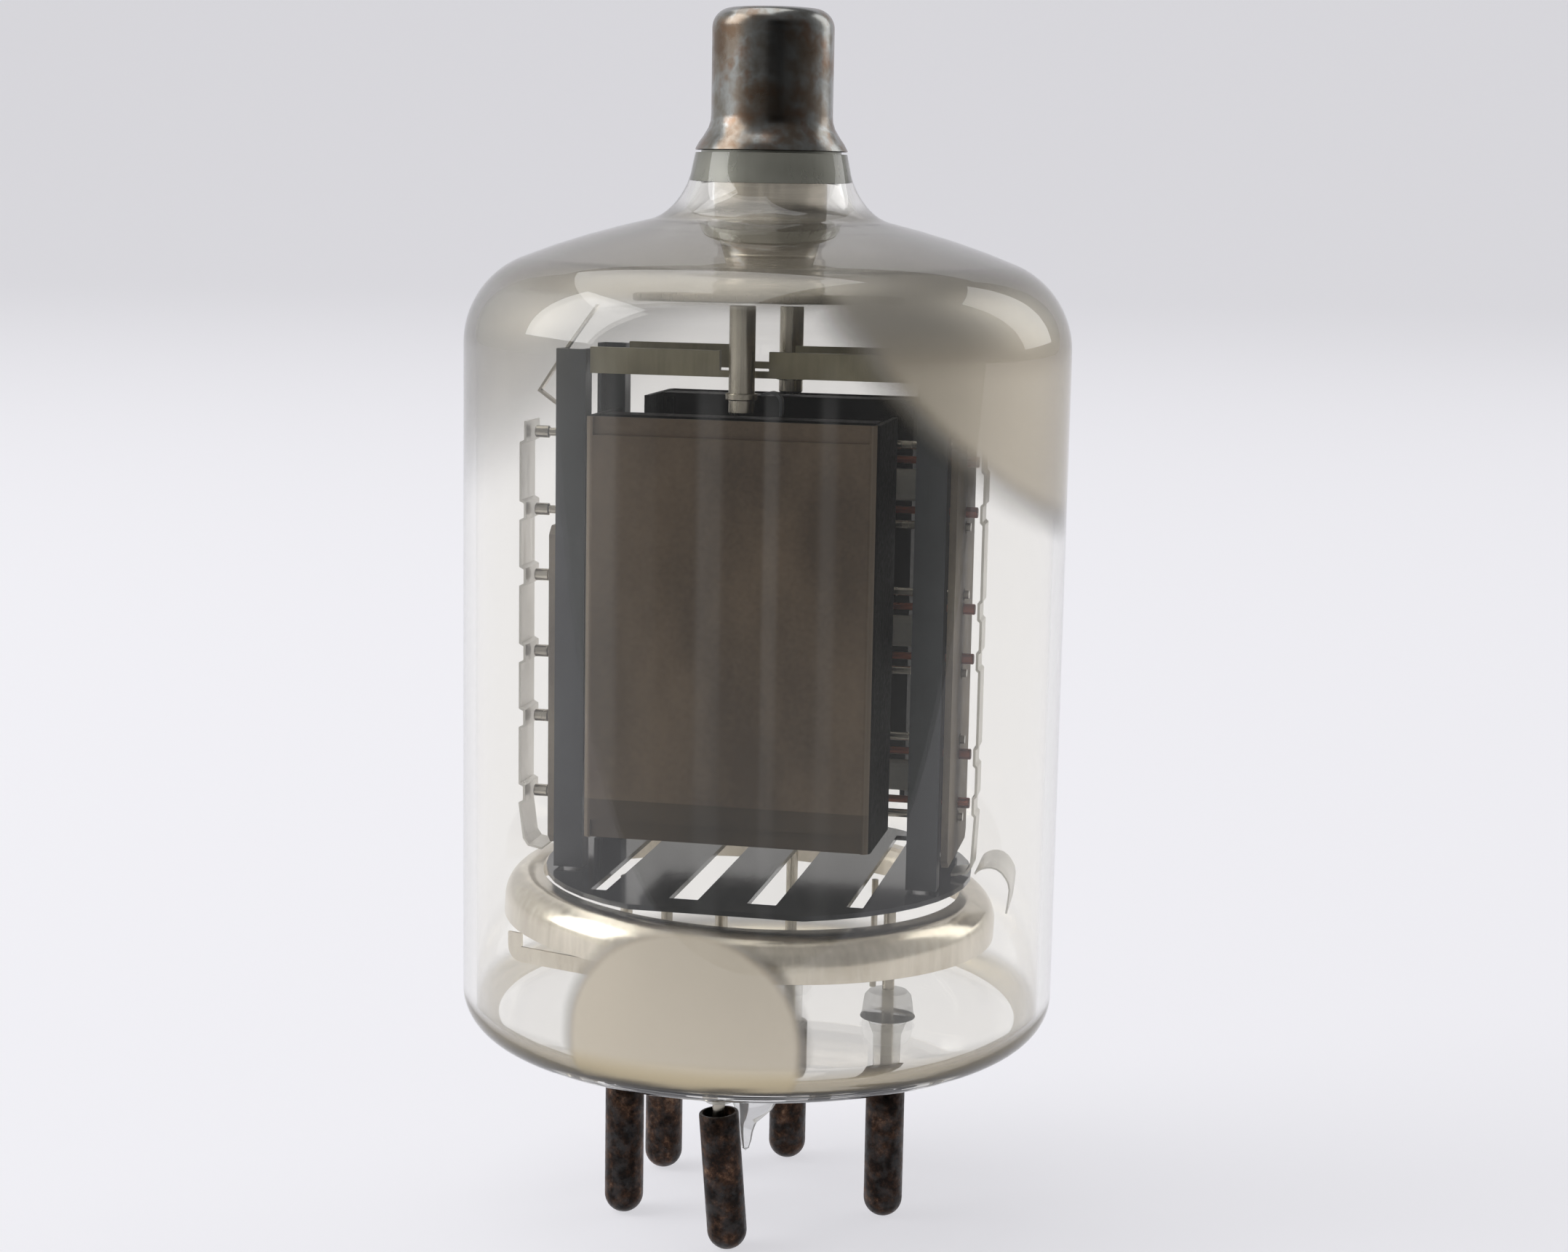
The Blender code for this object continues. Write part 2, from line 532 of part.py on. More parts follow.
def side_plates():
    """Insulating plates outside the posts, drilled for the grid rods and slotted for the cathodes."""
    half = SIDE_PLATE_HALF_WIDTH
    low, corner = SIDE_PLATE_BOTTOM, SIDE_PLATE_CORNER
    place = POST_OUTER + GAP + SIDE_PLATE_THICK / 2
    for side, name in ((-1, "left"), (1, "right")):
        high = SIDE_PLATE_TOPS[name]
        outline = [(-half + corner, low), (half - corner, low), (half, low + corner),
                   (half, high - corner), (half - corner, high), (-half + corner, high),
                   (-half, high - corner), (-half, low + corner)]
        holes = []
        rods = ((SCREEN_ROD_SPREAD, SCREEN_ROD_RADIUS), (CONTROL_ROD_SPREAD, CONTROL_ROD_RADIUS))
        for unit in UNIT_HEIGHTS:
            for spread, radius in rods:
                levels = [unit - spread, unit + spread]
                holes += [circle((0, z), radius + GAP, 8) for z in levels if z + 2 * radius < high]
        flat("side_plate_" + name, [outline] + holes, SIDE_PLATE_THICK, MICA,
             location=(side * place, 0, 0), rotation=FACE_SIDE)


def top_bars():
    """A bent strip across the front posts and one across the rear posts, each notched near its middle."""
    half = POST_OUTER - POST_WIDTH - GAP
    low = POST_TOP + GAP - BAR_HEIGHT
    floor = BAR_HEIGHT / 4
    for side, name in ((-1, "front"), (1, "rear")):
        left, right = BAR_NOTCHES[name]
        outline = [(half, BAR_HEIGHT), (half, 0), (-half, 0), (-half, BAR_HEIGHT),
                   (left, BAR_HEIGHT), (left, floor), (right, floor), (right, BAR_HEIGHT)]
        flat("top_bar_" + name, [outline], 2 * SHEET, BAR_METAL,
             location=(0, side * (POST_FACE - POST_DEPTH / 2), low), rotation=FACE_FRONT)


def base_ring():
    """A rolled band with a rounded top edge, a short inward lip and an open seam, hung a little aslant."""
    round_centre = (RING_RADIUS - RING_SHEET / 2 - RING_ROUND, RING_HEIGHT - RING_SHEET / 2 - RING_ROUND)
    lip = round_centre[0] - RING_LIP
    outside = [(lip, RING_HEIGHT)] + arc(round_centre, RING_ROUND + RING_SHEET / 2, 90, 0, 6)
    outside += [(RING_RADIUS, 0)]
    inside = [(lip, RING_HEIGHT - RING_SHEET)] + arc(round_centre, RING_ROUND - RING_SHEET / 2, 90, 0, 6)
    inside += [(RING_RADIUS - RING_SHEET, 0)]
    place, lean = (RING_SHIFT, 0, RING_BOTTOM), (0, RING_TILT, 0)
    ring = turned("base_ring", outside + inside[::-1], NICKEL, None, place, lean, FINE_STEPS, True)
    mesh = bpy.data.meshes.new("seam_gap")
    gap = bmesh.new()
    made = bmesh.ops.create_cube(gap, size=1)["verts"]
    bmesh.ops.scale(gap, verts=made, vec=(4 * RING_ROUND, RING_SEAM, 4 * RING_HEIGHT))
    bmesh.ops.translate(gap, verts=made, vec=(RING_RADIUS, 0, 0))
    gap.to_mesh(mesh)
    gap.free()
    seam = add_part("seam_gap", mesh, NICKEL, location=place, rotation=(0, 0, RING_SEAM_ANGLE))
    boolean(ring, as_cutter(seam), "DIFFERENCE")


def base_plate():
    """The dark plate over the ring's lip, with four long slots and two tool holes."""
    side = (PLATE_RADIUS ** 2 - PLATE_FRONT ** 2) ** 0.5
    first = degrees(atan2(PLATE_FRONT, side))
    outline = arc((0, 0), PLATE_RADIUS, -first, first, 16)
    outline += arc((0, 0), PLATE_RADIUS, 180 - first, 180 + first, 16)
    holes = []
    for place, width in (OUTER_SLOT, INNER_SLOT):
        edge = place + width / 2
        reach = min(SLOT_HALF_LENGTH, (PLATE_RADIUS ** 2 - edge ** 2) ** 0.5 - 2 * MM)
        for end in (-1, 1):
            left, right = end * place - width / 2, end * place + width / 2
            holes.append([(left, -reach), (right, -reach), (right, reach), (left, reach)])
    for end in (-1, 1):
        holes.append(circle((end * TOOL_HOLE[0], -TOOL_HOLE[1]), TOOL_HOLE[2], 8))
    flat("base_plate", [outline] + holes, PLATE_THICK, CAGE_METAL,
         location=(0, 0, PLATE_TOP - PLATE_THICK / 2))


def winding(name, spread, rod_radius, half_thick, unit, finish):
    """Flattened turns of fine wire that wrap both rods of one grid."""
    top = spread + 0.7 * rod_radius
    loop = [(0, top), (half_thick, spread - 0.8 * MM), (half_thick, -spread + 0.8 * MM),
            (0, -top), (-half_thick, -spread + 0.8 * MM), (-half_thick, spread - 0.8 * MM)]
    turns = round(2 * WINDING_HALF_LENGTH / WINDING_PITCH)
    points = []
    for step in range(turns * len(loop) + 1):
        v, z = loop[step % len(loop)]
        points.append((step * WINDING_PITCH / len(loop) - turns * WINDING_PITCH / 2, v, unit + z))
    return made_mesh(wire(name, points, WINDING_WIRE, finish, detail=0))


def grid(name, unit, spread, radius, half_thick, start, end, head_length, head_radius, finish):
    """Two side rods with a thicker end each, joined by their winding."""
    side = 1 if end > start else -1
    length = abs(end - start)
    profile = [(0, length), (head_radius, length), (head_radius, length - head_length),
               (radius, length - head_length), (radius, 0), (0, 0)]
    turn = (0, side * pi / 2, 0)
    upper = turned(name, profile, finish, frame, (start, 0, unit + spread), turn, steps=8)
    lower = turned(name + "_lower_rod", profile, finish, frame, (start, 0, unit - spread), turn, steps=8)
    wound = winding(name + "_winding", spread, radius, half_thick, unit, finish)
    boolean(upper, as_cutter(lower), "UNION")
    boolean(upper, as_cutter(wound), "UNION")


def electrode_units():
    plate = POST_OUTER + GAP + SIDE_PLATE_THICK
    clip = [(-CLIP_WIDTH / 2, -CLIP_HEIGHT / 2), (CLIP_WIDTH / 2, -CLIP_HEIGHT / 2),
            (CLIP_WIDTH / 2, CLIP_HEIGHT / 2), (-CLIP_WIDTH / 2, CLIP_HEIGHT / 2)]
    for number, unit in enumerate(UNIT_HEIGHTS, 1):
        grid("screen_grid_%d" % number, unit, SCREEN_ROD_SPREAD, SCREEN_ROD_RADIUS, SCREEN_HALF_THICK,
             plate + 0.6 * MM, -SCREEN_STRAP + GAP + STRAP_SHEET, FERRULE_LENGTH, FERRULE_RADIUS, NICKEL)
        grid("control_grid_%d" % number, unit, CONTROL_ROD_SPREAD, CONTROL_ROD_RADIUS, CONTROL_HALF_THICK,
             -plate - 0.6 * MM, CONTROL_STRAP - GAP - STRAP_SHEET, SLEEVE_LENGTH, SLEEVE_RADIUS, COPPER)
        outside = stadium(CATHODE_HALF_THICK, CATHODE_HALF_HEIGHT)
        inside = stadium(CATHODE_HALF_THICK - CATHODE_WALL, CATHODE_HALF_HEIGHT - CATHODE_WALL)
        flat("cathode_%d" % number, [outside, inside], 2 * CATHODE_HALF_LENGTH, OXIDE,
             location=(0, 0, unit), rotation=FACE_SIDE)
        flat("cathode_clip_%d" % number, [clip], SHEET, CAGE_METAL,
             location=(-plate - GAP - SHEET / 2, 0, unit), rotation=FACE_SIDE)
        leg = CATHODE_HALF_HEIGHT - CATHODE_WALL - GAP - HEATER_WIRE
        near, far = -CATHODE_HALF_LENGTH - 1.5 * MM, CATHODE_HALF_LENGTH - 1.0 * MM
        line = [(near, 0, unit + leg), (far - leg, 0, unit + leg), (far, 0, unit),
                (far - leg, 0, unit - leg), (near, 0, unit - leg)]
        wire("heater_%d" % number, line, HEATER_WIRE, TUNGSTEN)


def strap(name, side, place, jog, width, levels, reach, top):
    """A strip up the outside of the rod ends that steps outwards between one rod and the next."""
    foot = PLATE_TOP + GAP + STRAP_SHEET / 2
    line = [(side * (place - 2 * STRAP_BEND), foot),
            (side * (place - 0.5 * STRAP_BEND), foot + 0.3 * STRAP_BEND),
            (side * place, foot + STRAP_BEND)]
    for level in sorted(levels):
        line += [(side * (place + jog), level - reach - STRAP_STEP), (side * place, level - reach),
                 (side * place, level + reach), (side * (place + jog), level + reach + STRAP_STEP)]
    line[-1] = (side * place, top)
    ribbon(name, line, width, STRAP_SHEET, NICKEL)


def grid_straps():
    """The left strip joins the three screen grids and the right strip the three control grids."""
    reach = FERRULE_RADIUS + 0.2 * MM
    levels = [unit + end * SCREEN_ROD_SPREAD for unit in UNIT_HEIGHTS for end in (-1, 1)]
    strap("screen_grid_strap", -1, SCREEN_STRAP, SCREEN_STRAP_JOG, SCREEN_STRAP_WIDTH, levels,
          reach, max(levels) + 1.4 * MM)
    levels = [unit + end * CONTROL_ROD_SPREAD for unit in UNIT_HEIGHTS for end in (-1, 1)]
    strap("control_grid_strap", 1, CONTROL_STRAP, CONTROL_STRAP_JOG, CONTROL_STRAP_WIDTH, levels,
          reach, max(levels) + 2.0 * MM)


def bulb_spacer():
    """A leaf spring outside the right strap's foot that arches over the ring and down beside it."""
    root = CONTROL_STRAP + CONTROL_STRAP_JOG + STRAP_SHEET / 2 + GAP + SPRING_SHEET / 2
    span = SPRING_REACH - root
    line = [(root, SPRING_FOOT), (root + 0.1 * span, SPRING_FOOT + 0.5 * MM),
            (root + 0.45 * span, SPRING_FOOT + 0.9 * MM), (root + 0.8 * span, SPRING_FOOT + 0.1 * MM),
            (SPRING_REACH, SPRING_FOOT - 1.4 * MM), (SPRING_REACH - 0.3 * MM, SPRING_FOOT - 4.6 * MM)]
    ribbon("bulb_spacer", line, SPRING_WIDTH, SPRING_SHEET, NICKEL)


def getters():
    """Two slanting getter strips at the cage's top corners and a cup under the ring at the front."""
    post = POST_OUTER - SHEET / 2
    elbow = post + GETTER_STRIP_ELBOW
    low = GETTER_STRIP_FOOT
    behind = POST_FACE - POST_DEPTH - GAP - GETTER_STRIP_WIDTH / 2
    for side, name in ((-1, "left"), (1, "right")):
        line = [(side * post, low), (side * (elbow - 0.6 * GETTER_STRIP_ELBOW), low + 0.6 * MM),
                (side * elbow, low + 2.0 * MM),
                (side * (elbow - GETTER_STRIP_RUN), low + GETTER_STRIP_RISE)]
        ribbon("getter_strip_" + name, line, GETTER_STRIP_WIDTH, STRAP_SHEET, NICKEL,
               location=(0, -behind, 0))
    reach = RING_RADIUS - RING_SHEET - GAP - GETTER_CUP_RADIUS / 6
    x, y = reach * sin(GETTER_CUP_ANGLE), -reach * cos(GETTER_CUP_ANGLE) + GETTER_CUP_DEPTH
    z = RING_BOTTOM - GAP - GETTER_CUP_RADIUS - STRAP_SHEET
    inner = GETTER_CUP_RADIUS - 0.4 * MM
    floor = GETTER_CUP_DEPTH - 0.4 * MM
    profile = [(0, GETTER_CUP_DEPTH), (GETTER_CUP_RADIUS, GETTER_CUP_DEPTH), (GETTER_CUP_RADIUS, 0),
               (inner, 0), (inner, floor), (0, floor)]
    turned("getter_cup", profile, NICKEL, location=(x, y, z), rotation=(-pi / 2, 0, 0), steps=20)
    wall = RING_RADIUS - RING_SHEET / 2
    far = Vector((RING_SHIFT + wall * sin(GETTER_BRACKET_ANGLE), -wall * cos(GETTER_BRACKET_ANGLE)))
    way = Vector((x, y + GETTER_CUP_DEPTH + GAP + STRAP_SHEET / 2)) - far
    half = GETTER_BRACKET_WIDTH / 2
    top = RING_BOTTOM - GAP - STRAP_SHEET - (far.x - RING_SHIFT) * tan(RING_TILT)
    level = top - GETTER_BRACKET_DROP
    outline = [(-half, top), (half, top), (half, level + half),
               (way.length, level + half), (way.length, level - half)]
    outline += arc((half, level + half), 2 * half, 270, 180, 5)
    flat("getter_bracket", [outline], STRAP_SHEET, NICKEL, parent=None,
         location=(*far, 0), rotation=(pi / 2, 0, atan2(way.y, way.x)))


glass_bulb()
glass_stem()
contact_pins()
lead_rods()
anode_cap()
anode_stub()
anode_disc()
hanging_rods()
anode_halves()
cage_posts()
side_plates()
top_bars()
base_ring()
base_plate()
electrode_units()
grid_straps()
bulb_spacer()
getters()
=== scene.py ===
# %% [markdown]
# # A power tube in a clear glass bulb
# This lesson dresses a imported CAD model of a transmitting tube: a blown glass bulb that stands on hollow
# pins, with a metal cap on its neck and a cage of sheet metal inside. The CAD gives every place and size.
# Here each visible piece gets its real surface, and the round pieces are turned again on a finer lathe,
# because glass shows every facet.

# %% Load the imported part
from math import asin, cos, degrees, pi, radians, sin

import bpy
from mathutils import Matrix, Vector


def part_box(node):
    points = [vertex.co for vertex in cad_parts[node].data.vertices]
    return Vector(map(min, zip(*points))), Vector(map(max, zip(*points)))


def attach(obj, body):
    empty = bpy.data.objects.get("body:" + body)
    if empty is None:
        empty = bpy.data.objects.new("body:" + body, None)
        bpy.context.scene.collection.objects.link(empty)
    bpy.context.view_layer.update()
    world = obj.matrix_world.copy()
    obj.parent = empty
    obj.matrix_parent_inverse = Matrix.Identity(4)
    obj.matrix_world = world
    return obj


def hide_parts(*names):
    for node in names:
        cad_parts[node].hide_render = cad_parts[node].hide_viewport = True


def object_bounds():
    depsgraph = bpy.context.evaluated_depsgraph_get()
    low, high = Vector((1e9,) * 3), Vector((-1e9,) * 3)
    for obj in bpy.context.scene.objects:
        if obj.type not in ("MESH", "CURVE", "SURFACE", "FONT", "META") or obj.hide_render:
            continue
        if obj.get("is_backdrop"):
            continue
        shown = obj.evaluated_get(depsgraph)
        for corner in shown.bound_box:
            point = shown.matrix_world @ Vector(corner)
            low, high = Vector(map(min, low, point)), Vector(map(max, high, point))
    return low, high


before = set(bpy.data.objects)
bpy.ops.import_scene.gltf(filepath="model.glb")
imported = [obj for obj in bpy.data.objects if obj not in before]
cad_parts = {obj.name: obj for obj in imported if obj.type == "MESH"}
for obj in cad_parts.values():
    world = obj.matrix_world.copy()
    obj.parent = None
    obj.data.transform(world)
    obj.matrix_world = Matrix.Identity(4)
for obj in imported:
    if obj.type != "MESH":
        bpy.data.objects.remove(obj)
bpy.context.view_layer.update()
mm = 0.001

# %% [markdown]
# ## The camera
# The photograph was taken from a third of a metre, a little below the cap's height, looking slightly down.
# A camera fitted to the bulb's edges, the cap and the pins gave the numbers below.

# %% Camera at the photograph's viewing angle
camera_distance = 330 * mm
camera_height = 125.14 * mm
camera_yaw = radians(-0.438)
camera_dip = radians(8.98)
camera_roll = radians(1.062)

scene = bpy.context.scene
scene.view_settings.view_transform = "Standard"
camera_data = bpy.data.cameras.new("camera")
camera_data.lens = 63.14
camera_data.sensor_width = 36
camera_data.clip_start = 0.01
camera_data.clip_end = 20
camera = bpy.data.objects.new("camera", camera_data)
turn = Matrix.Rotation(camera_yaw, 4, "Z") @ Matrix.Rotation(pi / 2 - camera_dip, 4, "X")
stand = Matrix.Translation((0, -camera_distance, camera_height))
camera.matrix_world = stand @ turn @ Matrix.Rotation(camera_roll, 4, "Z")
scene.collection.objects.link(camera)
scene.camera = camera
print("camera lens:", camera_data.lens)

# %% [markdown]
# ## Small helpers for shaping
# Everything here starts from one point of a small plane that is drawn out along a line, as a wire would be
# bent by hand. Spun about an upright axis such a line becomes a turned piece, drawn sideways it becomes a
# strip of sheet, and given a section it becomes a wire.

# %% A line of points, drawn out with extrude
def only(*chosen):
    """Leave edit mode if need be and select nothing but the given objects."""
    if bpy.context.object and bpy.context.object.mode != "OBJECT":
        bpy.ops.object.mode_set(mode="OBJECT")
    bpy.ops.object.select_all(action="DESELECT")
    for item in chosen:
        item.select_set(True)
        bpy.context.view_layer.objects.active = item


def drawn_line(name, points):
    """A chain of edges through the points, with everything left selected in edit mode."""
    only()
    bpy.ops.mesh.primitive_plane_add(size=mm)
    piece = bpy.context.object
    piece.name = piece.data.name = name
    bpy.ops.object.mode_set(mode="EDIT")
    bpy.ops.mesh.select_all(action="SELECT")
    bpy.ops.mesh.merge(type="CENTER")
    bpy.ops.transform.translate(value=points[0])
    for near, far in zip(points, points[1:]):
        step = tuple(b - a for a, b in zip(near, far))
        bpy.ops.mesh.extrude_region_move(TRANSFORM_OT_translate={"value": step})
    bpy.ops.mesh.select_all(action="SELECT")
    return piece


def picked(piece, wanted):
    """Open a piece in edit mode with only those points selected whose place is wanted."""
    only(piece)
    bpy.ops.object.mode_set(mode="EDIT")
    bpy.ops.mesh.select_all(action="DESELECT")
    bpy.ops.object.mode_set(mode="OBJECT")
    for point in piece.data.vertices:
        point.select = wanted(point.co)
    bpy.ops.object.mode_set(mode="EDIT")


def cleaned():
    """Merge doubled points, drop stray edges and turn the faces outwards, then leave edit mode."""
    bpy.ops.mesh.select_all(action="SELECT")
    bpy.ops.mesh.remove_doubles(threshold=0.002 * mm)
    bpy.ops.mesh.delete_loose()
    bpy.ops.mesh.select_all(action="SELECT")
    bpy.ops.mesh.normals_make_consistent(inside=False)
    bpy.ops.object.mode_set(mode="OBJECT")


def arc(centre, radius, start, end, steps):
    """Points of an arc in a flat drawing, with its angles in degrees."""
    angles = [radians(start + (end - start) * step / steps) for step in range(steps + 1)]
    return [(centre[0] + radius * cos(a), centre[1] + radius * sin(a)) for a in angles]


# %% Turned pieces, bent strips and wires
def lathe(name, outline, steps=96, closed=False):
    """Spin a drawing of (radius, height) points about the Z axis."""
    line = outline + outline[:1] if closed else outline
    piece = drawn_line(name, [(r, 0, z) for r, z in line])
    bpy.ops.mesh.spin(steps=steps, angle=2 * pi, center=(0, 0, 0), axis=(0, 0, 1))
    cleaned()
    return piece


def strip(name, line, width, sheet):
    """A bent strip: the line lies in the XZ plane, and the strip is as wide as given along Y."""
    piece = drawn_line(name, [(x, -width / 2, z) for x, z in line])
    bpy.ops.mesh.extrude_region_move(TRANSFORM_OT_translate={"value": (0, width, 0)})
    cleaned()
    return modified(piece, "SOLIDIFY", thickness=sheet, offset=0, use_even_offset=True)


def wire(name, points, radius):
    """A wire along the points. It is so fine that four sides are enough."""
    piece = drawn_line(name, points)
    only(piece)
    bpy.ops.object.convert(target="CURVE")
    piece.data.bevel_depth = radius
    piece.data.bevel_resolution = 0
    piece.data.use_fill_caps = True
    bpy.ops.object.convert(target="MESH")
    bpy.ops.object.mode_set(mode="EDIT")
    cleaned()
    return piece


def modified(piece, kind, **settings):
    """Add one modifier, set it and apply it."""
    only(piece)
    change = piece.modifiers.new(kind.lower(), kind)
    for name, value in settings.items():
        setattr(change, name, value)
    bpy.ops.object.modifier_apply(modifier=change.name)
    return piece


def placed(piece, location=(0, 0, 0), rotation=(0, 0, 0)):
    """Turn and move a piece, then write its place into its mesh."""
    only(piece)
    piece.rotation_euler = rotation
    piece.location = location
    bpy.ops.object.transform_apply(location=True, rotation=True, scale=True)
    return piece


def joined(first, *others):
    """One object made of the first piece and the others."""
    only(*others, first)
    bpy.ops.object.join()
    return first


def copied(piece, name):
    """A copy with a mesh of its own."""
    made = piece.copy()
    made.data = piece.data.copy()
    made.name = made.data.name = name
    scene.collection.objects.link(made)
    return made


def smooth(piece, angle=35):
    """Shade a piece smooth, apart from edges sharper than the angle in degrees."""
    only(piece)
    bpy.ops.object.shade_smooth_by_angle(angle=radians(angle))
    return piece


def dressed(piece, finish, slot, *replaced):
    """Give a piece its material, let it ride on the part and hide the nodes it stands for. The slot is not
    used.
    """
    piece.data.materials.clear()
    piece.data.materials.append(finish)
    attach(piece, "root")
    if replaced:
        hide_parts(*replaced)
    print(piece.name, len(piece.data.polygons), "faces")
    return piece


# %% [markdown]
# ## Colours and nodes
# Colours are written as hex values read from the photograph, and one function turns them into linear light.
# One more function adds a node with its settings and links, so each material below reads like a recipe.

# %% Paint and the node function
def paint(code):
    """Linear RGBA of an sRGB hex colour."""
    parts = [int(code[i:i + 2], 16) / 255 for i in (0, 2, 4)]
    return (*[c / 12.92 if c <= 0.04045 else ((c + 0.055) / 1.055) ** 2.4 for c in parts], 1)


def grey(level):
    """A neutral colour of the given linear level."""
    return (level, level, level, 1)


def add(owner, kind, *values, stops=(), **named):
    """Add one node to a material or to the world, and return it.

    The values fill its inputs in order. A name with a capital letter is an input too, and a small one is a
    setting. A node or an output is linked, and anything else is set. Stops are a colour ramp's places and
    colours.
    """
    tree = owner.node_tree
    made = tree.nodes.new("ShaderNode" + kind)
    for name in [name for name in named if name.islower()]:
        setattr(made, name, named.pop(name))
    pairs = list(zip([socket for socket in made.inputs if socket.enabled], values))
    pairs += [(made.inputs[name.replace("_", " ")], value) for name, value in named.items()]
    for socket, value in pairs:
        if isinstance(value, bpy.types.Node):
            value = next(output for output in value.outputs if output.enabled)
        if isinstance(value, bpy.types.NodeSocket):
            tree.links.new(value, socket)
        else:
            socket.default_value = value
    for number, (place, colour) in enumerate(stops):
        elements = made.color_ramp.elements
        stop = elements[number] if number < len(elements) else elements.new(place)
        stop.position, stop.color = place, colour
    return made


def new_material(name):
    """An empty material with nodes."""
    made = bpy.data.materials.new(name)
    made.use_nodes = True
    made.node_tree.nodes.clear()
    return made


def spots(material, size, detail=4, rough=0.5, stretch=(1, 1, 1), shift=(0, 0, 0)):
    """Noise on the object's own coordinates, with spots of about the given size in millimetres."""
    where = add(material, "TexCoord").outputs["Object"]
    moved = add(material, "Mapping", Vector=where, Scale=stretch, Location=shift)
    return add(material, "TexNoise", Vector=moved, Scale=0.5 / (size * mm), Detail=detail, Roughness=rough)


# %% [markdown]
# ## Metals inside the bulb
# Inside the vacuum nothing tarnishes, so the nickel pieces are still as bright as on the day they were
# degassed, with fine rolling marks. The cage is blackened steel and the anodes carry a matte coat of
# carbon, so that they shed heat.

# %% A metal with rolling marks
relief_depth = 0.02 * mm
cloud_size = 6
even_grain = (1, 1, 1)


def metal(name, dark, light, roughness, grain=0.6, stretch=(1, 1, 0.12), metallic=1.0, bump=0.05):
    """Sheet or rod: slow clouds of colour, and marks in roughness and relief with a grain in millimetres."""
    made = new_material(name)
    marks = spots(made, grain, 3, 0.6, stretch)
    cloud = add(made, "Math", spots(made, cloud_size, 2), 0.8, operation="MULTIPLY")
    mixed = add(made, "Math", marks, 0.35, cloud, operation="MULTIPLY_ADD")
    colour = add(made, "ValToRGB", mixed, stops=((0.35, paint(dark)), (0.75, paint(light))))
    rough = add(made, "MapRange", marks, 0.3, 0.7, roughness * 0.8, roughness * 1.25)
    relief = add(made, "Bump", Strength=bump, Distance=relief_depth, Height=marks)
    shader = add(made, "BsdfPrincipled", Base_Color=colour, Metallic=metallic, Roughness=rough, Normal=relief)
    add(made, "OutputMaterial", shader)
    return made


# rolled nickel sheet: a bright, slightly warm mirror with soft streaks
bright_nickel = metal("bright_nickel_sheet", "bdb4a4", "e6dfd2", 0.2)
# the straps are the same sheet, but annealed, so they look paler and more even
strap_nickel = metal("annealed_nickel_strap", "bdb9b0", "e2dfd9", 0.34)
# drawn rod: darker, with lines along its length
nickel_rod = metal("drawn_nickel_rod", "8d877c", "c9c3b6", 0.24, stretch=(1, 1, 0.03))
# turned nickel of the stud: warm, with fine rings round it
turned_nickel = metal("turned_nickel", "a39c90", "d3ccc0", 0.22, 0.3, (0.05, 0.05, 1))
# the disc is the stud's nickel painted a much darker brown, as painted shade, so that it stays dim
shade_dark_disc_nickel = metal("shade_darkened_nickel_disc", "3c362f", "5f574c", 0.3, 0.3, (1, 1, 0.3))
# the bars have a dull, brownish skin from the heat of the cage
dull_nickel = metal("dull_nickel_bar", "77715f", "a8a28c", 0.4)
# black oxide on steel: blue-grey, with a soft sheen
blackened_steel = metal("blackened_steel", "2b2d31", "43464a", 0.36, metallic=0.45)
# the base plate is the same steel, kept flat and glossy, so that it mirrors what stands on it
plate_steel = metal("polished_black_plate", "1c1d20", "34363a", 0.12, metallic=0.75, bump=0.02)
# the rods of the control grids are copper, browned at the ends
grid_copper = metal("grid_copper", "6f3b2b", "a8644c", 0.3, stretch=(0.1, 0.1, 1), metallic=0.9)
# the fine wire of the windings is painted dark as painted shade, as it lies in the shadow between the anode
# and the posts
winding_wire = metal("painted_shade_winding_wire", "2e2b29", "4c4844", 0.4, 0.3)
# the sprayed coat on the mica plates: dry and pale brown
mica_plate = metal("sprayed_mica", "5c5145", "8f8371", 0.65, 0.8, even_grain, 0.0, 0.2)
# the oxide coat of the cathodes and the alumina on the heaters: chalk white
cathode_oxide = metal("cathode_oxide", "c9c6be", "dedbd2", 0.9, 0.3, even_grain, 0.0, 0.2)
heater_coat = metal("heater_alumina", "d8d7d2", "efeeea", 0.9, 0.3, even_grain, 0.0, 0.2)
print("metals ready")

# %% [markdown]
# ## Metals outside
# The cap and the pins have been handled and stored for decades. The cap's nickel has gone grey with brown
# and bluish clouds, and the plating of the pins has turned dark brown, with rust coming through in
# blotches.

# %% Tarnished cap
def tarnished_cap():
    """Grey nickel with cool clouds, brown blots and a fine grain."""
    made = new_material("tarnished_nickel_cap")
    cloud = spots(made, 3.2, 4, 0.55)
    blot = spots(made, 1.6, 5, 0.6, shift=(3, 1, 2))
    grain = spots(made, 0.12, 3, 0.7)
    base = add(made, "ValToRGB", cloud, stops=((0.36, paint("6c5b4c")), (0.46, paint("837a70")),
                                               (0.54, paint("999a98")), (0.66, paint("7d766b"))))
    brown = add(made, "ValToRGB", blot, stops=((0.52, grey(0)), (0.68, grey(0.7))))
    colour = add(made, "Mix", brown, base, paint("7d5f48"), data_type="RGBA")
    rough = add(made, "MapRange", cloud, 0.35, 0.65, 0.29, 0.2)
    relief = add(made, "Bump", Strength=0.16, Distance=relief_depth, Height=grain)
    shader = add(made, "BsdfPrincipled", Base_Color=colour, Metallic=1.0, Roughness=rough, Normal=relief)
    add(made, "OutputMaterial", shader)
    return made


cap_nickel = tarnished_cap()


